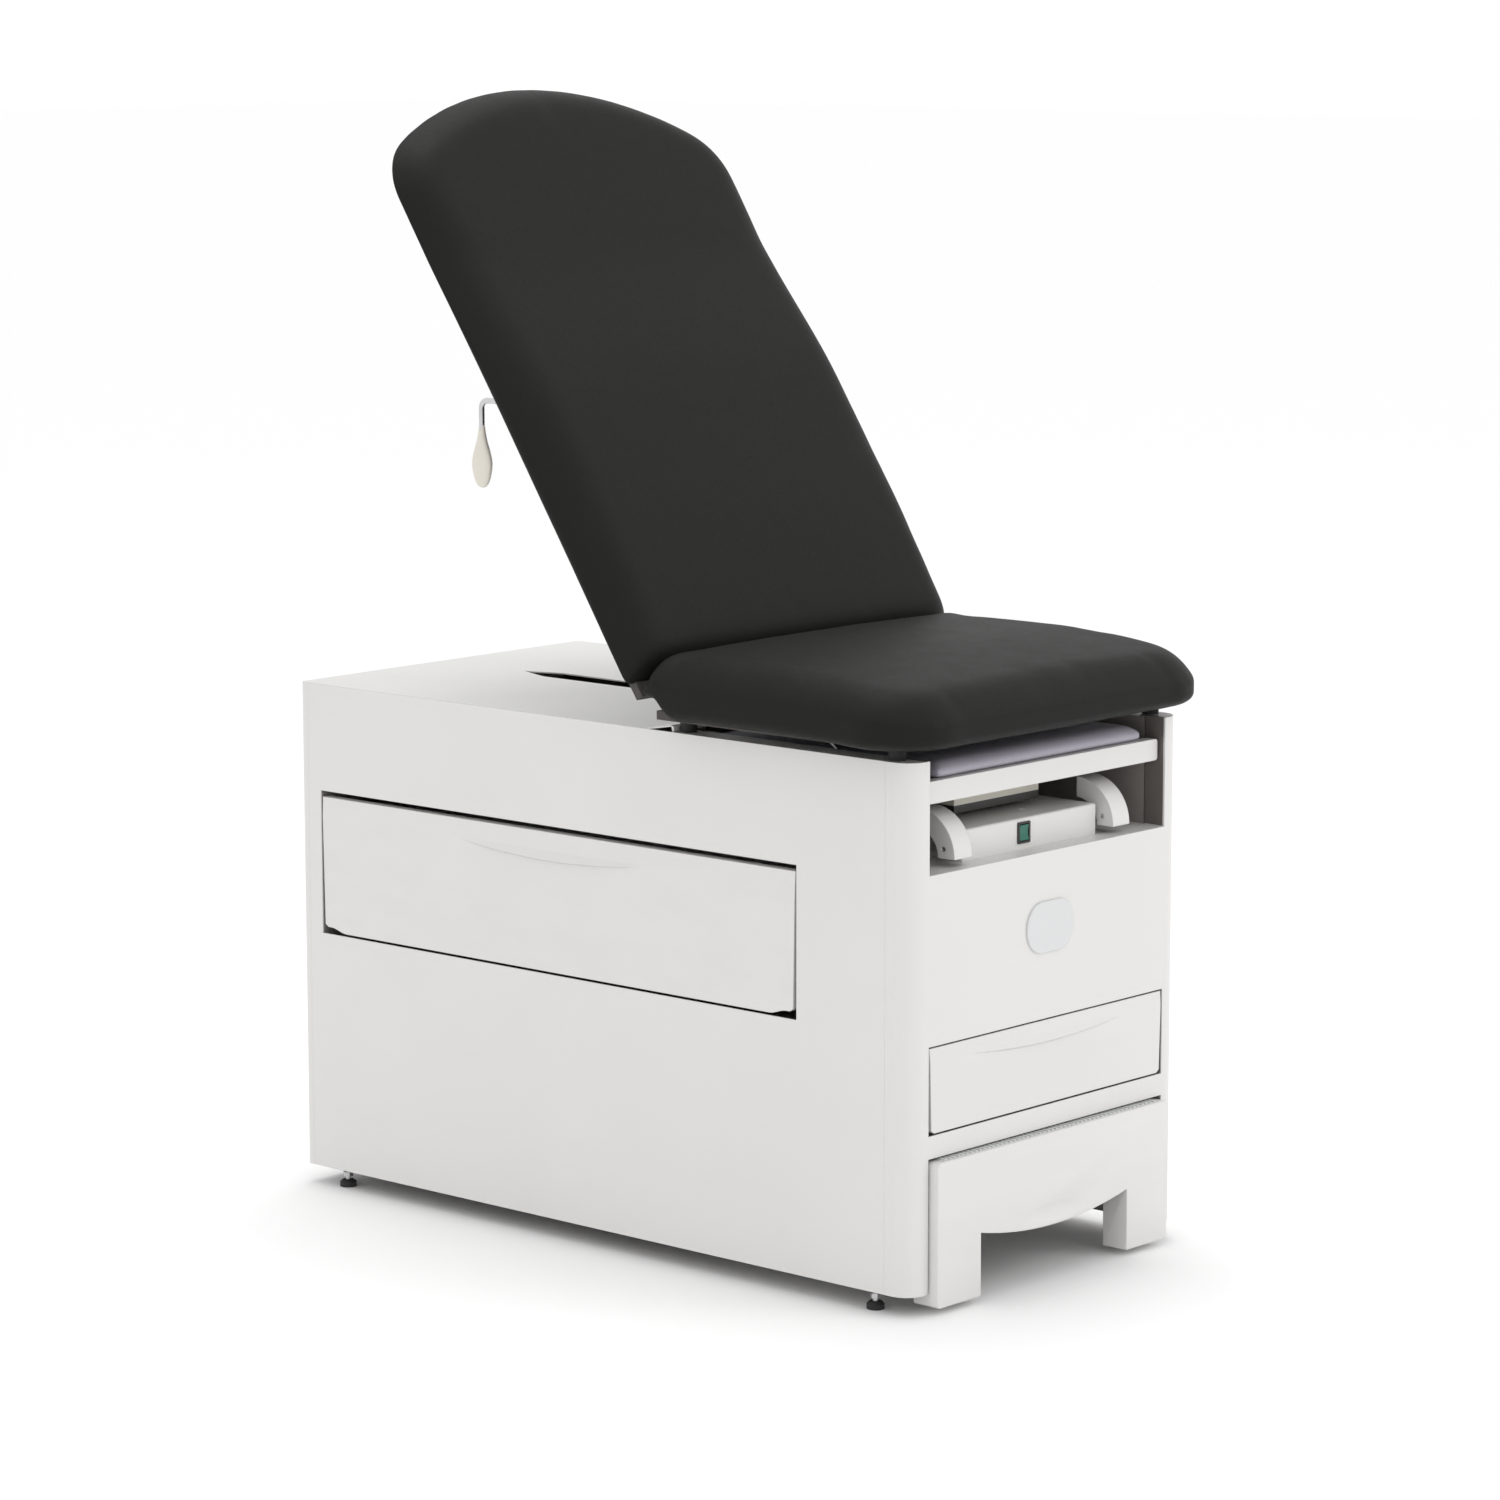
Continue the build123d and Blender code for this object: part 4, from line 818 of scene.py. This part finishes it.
def round_corner(
    centre: Vector, radius: float, start: float, end: float, steps: int
) -> list[Plane]:
    """Planes that touch an arc, for rounding an outline by straight cuts.

    Args:
        centre: the arc's centre.
        radius: its radius.
        start: first angle in degrees.
        end: last angle in degrees.
        steps: number of planes.

    Returns:
        Point and outward normal of each plane.
    """
    planes = []
    for angle in np.linspace(math.radians(start), math.radians(end), steps):
        way = Vector((math.cos(angle), math.sin(angle), 0.0))
        planes.append((centre + way * radius, way))
    return planes


@dataclass
class SeatCushion(Upholstery):
    """The seat's cushion, between its rolled front and the crease at the back."""

    corner: float = 0.095
    front_drop: float = 0.006
    rear_rise: float = 0.005
    waterfall: float = 0.024
    waterfall_run: float = 0.25
    undercut: float = 0.027
    rear_lean: Vector = field(default_factory=lambda: Vector((0.0, 0.975, 0.222)))
    rear_point: Vector = field(default_factory=Vector)
    waterfall_power: float = 1.7
    rise_run: float = 0.05
    sag_share: float = 0.6
    undercut_start: float = 0.040
    undercut_run: float = 0.012

    def corner_planes(self) -> list[Plane]:
        """Both front corners."""
        planes = []
        x, y = self.half_width - self.corner, self.length[0] + self.corner
        for side, start, end in ((-1, 185, 265), (1, 275, 355)):
            planes += round_corner(Vector((side * x, y, 0.0)), self.corner, start, end, 9)
        return planes

    def end_planes(self) -> list[Plane]:
        """The leaning rear face."""
        return [(self.rear_point, self.rear_lean)]

    def edge_distance(self, x: np.ndarray, y: np.ndarray) -> np.ndarray:
        """Distance from the sides, the front and its rounded corners."""
        side = self.half_width - np.abs(x)
        ahead = y - self.length[0]
        in_corner = (side < self.corner) & (ahead < self.corner)
        round_off = self.corner - np.hypot(self.corner - side, self.corner - ahead)
        return np.where(in_corner, round_off, np.minimum(side, ahead))

    def front(self, x: np.ndarray, y: np.ndarray) -> np.ndarray:
        """The seat falls away in front and fills the crease behind."""
        ahead = np.clip(1.0 - (y - self.length[0]) / self.waterfall_run, 0.0, 1.0)
        fall = self.waterfall * ahead**self.waterfall_power
        rise = self.rear_rise * smooth(1.0 - (self.length[1] - y) / self.rise_run)
        return super().front(x, y) - fall + rise

    def rear(self, x: np.ndarray, y: np.ndarray) -> np.ndarray:
        """The underside sags a little in front and clears the hinge behind."""
        along = (y - self.length[0]) / (self.length[1] - self.length[0])
        sag = self.front_drop * smooth(1.0 - along / self.sag_share)
        start = self.length[1] - self.undercut_start
        step = self.undercut * smooth((y - start) / self.undercut_run)
        return super().rear(x, y) - sag + step


@dataclass
class BackCushion(Upholstery):
    """The back's cushion, in the back's own frame: y along the back, z out of its face."""

    hinge: Vector = field(default_factory=Vector)
    lean: float = 56.5
    arch: float = 0.565
    corner: float = 0.11
    lumbar_end: float = 0.44
    head_start: float = 0.70
    head_set_back: float = 0.018
    low_run: float = 0.26
    low_set_back: float = 0.010
    seat_cut: Plane = (Vector((0.0, 0.0165, -0.0012)), Vector((0.0, -0.674, 0.739)))
    chamfer: Plane = (Vector((0.0, 0.0485, 0.0265)), Vector((0.0, -0.90, 0.43)))

    def arch_centre(self) -> Vector:
        """Centre of the head end's arch."""
        return Vector((0.0, self.length[1] - self.arch, 0.0))

    def corner_centre(self) -> Vector:
        """Centre of the right head corner, inside both the side and the arch."""
        x = self.half_width - self.corner
        rise = math.sqrt((self.arch - self.corner) ** 2 - x * x)
        return self.arch_centre() + Vector((x, rise, 0.0))

    def corner_planes(self) -> list[Plane]:
        """The arch and both head corners."""
        middle = self.corner_centre()
        away = middle - self.arch_centre()
        meet = math.degrees(math.atan2(away.y, away.x))
        planes = round_corner(self.arch_centre(), self.arch, meet, 180 - meet, 13)
        planes += round_corner(middle, self.corner, 4, meet - 3, 8)
        mirrored = Vector((-middle.x, middle.y, 0.0))
        return planes + round_corner(mirrored, self.corner, 183 - meet, 176, 8)

    def end_planes(self) -> list[Plane]:
        """The lower end, cut to the seat's rear face, and a chamfer above it."""
        end = (Vector((0.0, self.length[0], 0.0)), Vector((0.0, -1.0, 0.0)))
        return [self.seat_cut, self.chamfer, end]

    def edge_distance(self, x: np.ndarray, y: np.ndarray) -> np.ndarray:
        """Distance from the sides, the corners and the arch."""
        side = self.half_width - np.abs(x)
        centre = self.arch_centre()
        top = self.arch - np.hypot(x, y - centre.y)
        middle = self.corner_centre()
        right, up = np.abs(x) - middle.x, y - middle.y
        slope = (middle - centre).normalized()
        in_corner = (right > 0) & (up > 0) & (right * slope.y - up * slope.x > 0)
        round_off = self.corner - np.hypot(right, up)
        above = y > centre.y
        return np.where(in_corner, round_off, np.where(above, np.minimum(side, top), side))

    def front(self, x: np.ndarray, y: np.ndarray) -> np.ndarray:
        """The lower back stands forward of the head section, with a hollow between them."""
        step = smooth((y - self.lumbar_end) / (self.head_start - self.lumbar_end))
        low_end = smooth((y - self.length[0]) / self.low_run)
        low_back = self.low_set_back * (1.0 - low_end)
        return super().front(x, y) - self.head_set_back * step - low_back

    def own_frame(self) -> Matrix:
        """From the back's own frame to the table's."""
        return Matrix.Translation(self.hinge) @ Matrix.Rotation(math.radians(self.lean), 4, "X")


@dataclass
class LegPad(Upholstery):
    """The thin pad on the leg rest."""

    def edge_distance(self, x: np.ndarray, y: np.ndarray) -> np.ndarray:
        """Distance from the sides and the front."""
        return np.minimum(self.half_width - np.abs(x), y - self.length[0])


# ---------------------------------------------------------------- mouldings
@dataclass
class DrawerFace:
    """A drawer's moulded face with its finger grip: u across, v up, w out of the face."""

    name: str
    body: str
    node: str
    middle: Vector
    across: Vector
    outward: Vector
    half_width: float
    low: float
    high: float
    thickness: float
    grip_half: float
    ridge: float
    sag: float
    swell: float = 0.0052
    lean: float = 0.0014
    taper: float = 0.0035
    corner_rise: float = 0.0065
    corner_run: float = 0.042
    corner_radius: float = 0.004
    corner_fade: float = 0.7
    arc_gap: float = 0.0004
    lip: float = 0.0012
    lip_growth: float = 0.0006
    knots: tuple[float, ...] = (0.0, 0.5, 0.55, 0.75, 1.0)
    reliefs: tuple[float, ...] = (0.0, 0.0, 1.0, 0.0, 0.0)
    columns: int = 150
    rows: int = 40

    def moulded(self, grid: np.ndarray) -> np.ndarray:
        """Shapes a unit grid into the face.

        Args:
            grid: places on a grid of side 1 about the origin.

        Returns:
            Places in metres in the table's frame.
        """
        share = grid[:, 1] + 0.5
        u = grid[:, 0] * 2.0 * self.half_width
        past_side = np.abs(u) - self.half_width
        in_corner = np.clip((past_side + self.corner_radius) / self.corner_radius, 0.0, 1.0)
        fade = self.corner_run * self.corner_fade
        rise = self.corner_rise * smooth((past_side + self.corner_run) / fade)
        low = self.low + rise + self.corner_radius * (1.0 - np.sqrt(1.0 - in_corner**2))
        full = np.clip(1.0 - (u / self.grip_half) ** 2, 0.0, 1.0)
        arc = self.ridge - self.arc_gap - self.sag * full
        lip = self.lip + self.lip_growth * full
        heights = (low, arc - lip, arc, np.full_like(u, self.ridge), np.full_like(u, self.high))
        v, out = np.zeros_like(u), np.zeros_like(u)
        for start in range(len(self.knots) - 1):
            first, last = self.knots[start], self.knots[start + 1]
            within = (share >= first) & (share <= last)
            part = (share - first) / (last - first)
            v = np.where(within, heights[start] * (1 - part) + heights[start + 1] * part, v)
            bulge = self.reliefs[start] * (1 - part) + self.reliefs[start + 1] * part
            out = np.where(within, self.swell * full * bulge, out)
        out -= self.lean * np.clip((v - self.ridge) / (self.high - self.ridge), 0.0, 1.0)
        u *= 1.0 - self.taper / self.half_width * (self.high - v) / (self.high - self.low)
        places = np.outer(u, self.across) + np.outer(out, self.outward)
        places[:, 2] += v
        return places + np.array(self.middle)

    def build(self) -> bpy.types.Object:
        """Models the face as a sheet, gives it its thickness and flattens its rear.

        Returns:
            The finished piece.
        """
        Bench.clear()
        bpy.ops.mesh.primitive_grid_add(
            x_subdivisions=self.columns, y_subdivisions=self.rows, size=1.0
        )
        piece = bpy.context.object
        piece.name = self.name
        piece.data.name = self.name
        Bench.press(piece, self.moulded)
        bpy.ops.object.mode_set(mode="EDIT")
        bpy.ops.mesh.select_all(action="SELECT")
        bpy.ops.mesh.extrude_region_move(
            TRANSFORM_OT_translate={"value": self.outward * -self.thickness}
        )
        bpy.ops.object.mode_set(mode="OBJECT")
        way, middle = np.array(self.outward), np.array(self.middle)

        def flat_rear(places: np.ndarray) -> np.ndarray:
            """Puts the extruded side on one plane."""
            depth = (places - middle) @ way
            depth_wanted = np.where(depth < -self.thickness / 2, -self.thickness, depth)
            return places + np.outer(depth_wanted - depth, way)

        Bench.press(piece, flat_rear)
        Bench.grab(piece)
        bpy.ops.object.mode_set(mode="EDIT")
        bpy.ops.mesh.select_all(action="SELECT")
        bpy.ops.mesh.normals_make_consistent(inside=False)
        bpy.ops.object.mode_set(mode="OBJECT")
        bpy.ops.object.shade_smooth_by_angle(angle=math.radians(28.0))
        Bench.finish(piece, Coat.DRAWER, self.body, "drawer_plastic", self.node)
        return piece


@dataclass
class StepShell:
    """The pull-out step's moulding: softened edges and a shallow dish over its arch."""

    node: bpy.types.Object
    edge: float = 0.0048
    dish_radii: tuple[float, float, float] = (0.135, 0.030, 0.030)
    dish_depth: float = 0.003
    dish_height: float = 0.096

    def build(self) -> bpy.types.Object:
        """Models the moulding from the step's own solid.

        Returns:
            The finished piece.
        """
        piece = Bench.copy_node("step_moulding", self.node)
        low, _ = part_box("step_body")
        Bench.clear()
        bpy.ops.mesh.primitive_uv_sphere_add(segments=96, ring_count=48, radius=1.0)
        dish = bpy.context.object
        reach = self.dish_radii[1] - self.dish_depth
        middle = Matrix.Translation((0.0, low.y - reach, self.dish_height))
        dish.data.transform(middle @ Matrix.Diagonal((*self.dish_radii, 1.0)))
        Bench.apply(piece, "BOOLEAN", operation="DIFFERENCE", object=dish, solver="EXACT")
        bpy.data.objects.remove(dish)
        Bench.apply(
            piece, "BEVEL", width=self.edge, segments=4, limit_method="ANGLE",
            angle_limit=math.radians(50.0), use_clamp_overlap=True,
        )
        bpy.ops.object.shade_smooth_by_angle(angle=math.radians(35.0))
        Bench.finish(piece, Coat.WHITE, "step", "white_plastic", "step_body")
        return piece


@dataclass
class ReleaseGrip:
    """The release lever's grip: a flat drop with a slim neck."""

    low: Vector
    high: Vector
    fullness: float = 0.62

    def drop(self, ball: np.ndarray) -> np.ndarray:
        """Draws a unit ball out into the drop.

        Args:
            ball: places on a ball of radius 1.

        Returns:
            Places in metres in the table's frame.
        """
        middle = (np.array(self.low) + np.array(self.high)) / 2
        half = (np.array(self.high) - np.array(self.low)) / 2
        height = (ball[:, 2] + 1.0) / 2.0
        width = 1.0 - self.fullness * smooth((height - 0.30) / 0.55)
        square = np.abs(ball[:, :2]) ** 0.8 * np.sign(ball[:, :2])
        flat = 1.0 - 0.25 * smooth((height - 0.3) / 0.6)
        x = middle[0] + square[:, 0] * half[0] * flat
        y = middle[1] + square[:, 1] * half[1] * width
        return np.column_stack((x, y, middle[2] + ball[:, 2] * half[2]))

    def build(self) -> bpy.types.Object:
        """Models the grip.

        Returns:
            The finished piece.
        """
        Bench.clear()
        bpy.ops.mesh.primitive_uv_sphere_add(segments=64, ring_count=48, radius=1.0)
        piece = bpy.context.object
        piece.name = "release_grip"
        Bench.press(piece, self.drop)
        bpy.ops.object.shade_smooth()
        Bench.finish(piece, Coat.BEIGE, "release_lever", "beige_plastic", "release_paddle")
        return piece


# ---------------------------------------------------------------- studio
@dataclass
class Studio:
    """Pale floor, soft light and the camera."""

    floor_size: float = 90.0
    camera_place: Vector = field(default_factory=lambda: Vector((-5.080, -4.5505, 1.7418)))
    heading: float = -48.2749
    pitch: float = 8.9857
    roll: float = 0.0704
    lens: float = 118.239
    sky_strength: float = 1.04

    def floor(self) -> None:
        """Lays the floor."""
        Bench.clear()
        bpy.ops.mesh.primitive_plane_add(size=self.floor_size)
        ground = bpy.context.object
        ground.name = "studio_floor"
        g = Graph("studio_floor_paper")
        grain = g.noise(30.0, 3.0)
        g.surface(Base_Color=(0.95, 0.95, 0.95), Roughness=0.85 + (grain - 0.5) * 0.1)
        ground.data.materials.append(g.material)

    def lamp(
        self, name: str, place: Sequence[float], aim: Sequence[float], size: float, power: float
    ) -> None:
        """Adds a square softbox.

        Args:
            name: the lamp's name.
            place: where it stands.
            aim: what it points at.
            size: its side in metres.
            power: its power in watts.
        """
        light = bpy.data.lights.new(name, "AREA")
        light.size = size
        light.energy = power
        holder = bpy.data.objects.new(name, light)
        holder.location = place
        way = Vector(aim) - Vector(place)
        holder.rotation_euler = way.to_track_quat("-Z", "Y").to_euler()
        bpy.context.scene.collection.objects.link(holder)

    def light(self) -> None:
        """Sets the sky and the softboxes."""
        world = bpy.data.worlds.new("studio_sky")
        bpy.context.scene.world = world
        world.use_nodes = True
        sky = world.node_tree.nodes["Background"]
        sky.inputs["Color"].default_value = (1.0, 1.0, 1.0, 1.0)
        sky.inputs["Strength"].default_value = self.sky_strength
        self.lamp("softbox_key", (2.2, -4.6, 3.4), (0.0, 0.0, 0.7), 2.0, 34.0)
        self.lamp("softbox_top", (0.4, 0.8, 4.6), (0.0, 0.2, 0.5), 2.0, 40.0)

    def camera(self) -> None:
        """Places the camera."""
        view = bpy.data.cameras.new("studio_camera")
        view.lens = self.lens
        view.sensor_width = 36.0
        holder = bpy.data.objects.new("studio_camera", view)
        holder.location = self.camera_place
        holder.rotation_euler = (
            math.radians(90.0 - self.pitch), math.radians(self.roll), math.radians(self.heading)
        )
        bpy.context.scene.collection.objects.link(holder)
        bpy.context.scene.camera = holder

    def build(self) -> None:
        """Sets up the whole studio."""
        bpy.context.scene.view_settings.view_transform = "Standard"
        self.camera()
        self.floor()
        self.light()


# ---------------------------------------------------------------- assembly
class ExamTable:
    """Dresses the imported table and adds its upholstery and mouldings."""

    def __init__(self, frame: dict[str, Any]) -> None:
        """Keeps the frame and its joints by name.
        """
        self.frame = frame
        self.joints = {joint["name"]: joint for joint in frame["joints"]}

    def dress_nodes(self) -> None:
        """Gives every CAD node its finish."""
        for coat, nodes in DRESS.items():
            for name in nodes:
                coat.paint(self.frame["nodes"][name])

    def fit_mouldings(self) -> None:
        """Makes the drawer faces and the step's moulding."""
        low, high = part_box("side_drawer_front")
        DrawerFace(
            name="side_drawer_face", body="side_drawer", node="side_drawer_front",
            middle=Vector((low.x + GRIP_RISE, (low.y + high.y) / 2, 0.0)),
            across=Vector((0.0, -1.0, 0.0)), outward=Vector((-1.0, 0.0, 0.0)),
            half_width=(high.y - low.y) / 2, low=low.z, high=high.z,
            thickness=high.x - low.x - GRIP_RISE, grip_half=0.175, ridge=high.z - 0.027, sag=0.011,
        ).build()
        low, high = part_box("front_drawer_front")
        DrawerFace(
            name="front_drawer_face", body="front_drawer", node="front_drawer_front",
            middle=Vector((0.0, low.y + GRIP_RISE, 0.0)),
            across=Vector((1.0, 0.0, 0.0)), outward=Vector((0.0, -1.0, 0.0)),
            half_width=high.x, low=low.z, high=high.z, thickness=high.y - low.y - GRIP_RISE,
            grip_half=0.165, ridge=high.z - 0.0185, sag=0.009, swell=0.0042, corner_rise=0.0,
            columns=90,
        ).build()
        StepShell(self.frame["nodes"]["step_body"]).build()
        ReleaseGrip(*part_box("release_paddle")).build()

    def upholster(self) -> None:
        """Makes the seat, the back and the leg rest's pad."""
        low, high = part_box("seat_cushion")
        board_low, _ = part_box("seat_board")
        SeatCushion(
            name="seat_upholstery", body="seat", node="seat_cushion", slot="charcoal_vinyl",
            coat=Coat.CHARCOAL, half_width=high.x, length=(low.y, high.y),
            thickness=(board_low.z + 0.0008, high.z + 0.013), voxel=0.007, crown=0.006, roll=0.060,
            roll_drop=0.030,
            rear_point=Vector((0.0, high.y - 0.0005, board_low.z + 0.014)),
        ).build()
        hinge = Vector(self.joints["back_tilt"]["pos_m"])
        BackCushion(
            name="back_upholstery", body="back", node="back_cushion", slot="charcoal_vinyl",
            coat=Coat.CHARCOAL, half_width=high.x + 0.004, length=(0.017, 0.970),
            thickness=(-0.0135, 0.046), hinge=hinge, roll=0.06, roll_drop=0.036, crown=0.004,
        ).build()
        low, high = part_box("leg_rest_pad")
        LegPad(
            name="leg_rest_upholstery", body="leg_rest", node="leg_rest_pad", slot="grey_vinyl",
            coat=Coat.PAD_GREY, half_width=high.x, length=(low.y, high.y),
            thickness=(low.z, high.z), crown=0.001, roll=0.016, roll_drop=0.010, belly=0.006,
            voxel=0.006, cap=0.002,
        ).build()


def main() -> None:
    """Builds the scene."""
    logging.basicConfig(level=logging.INFO, format="%(name)s: %(message)s")
    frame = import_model()
    Studio().build()
    table = ExamTable(frame)
    table.dress_nodes()
    table.fit_mouldings()
    table.upholster()
    bpy.context.view_layer.update()


if __name__ == "__main__":
    main()
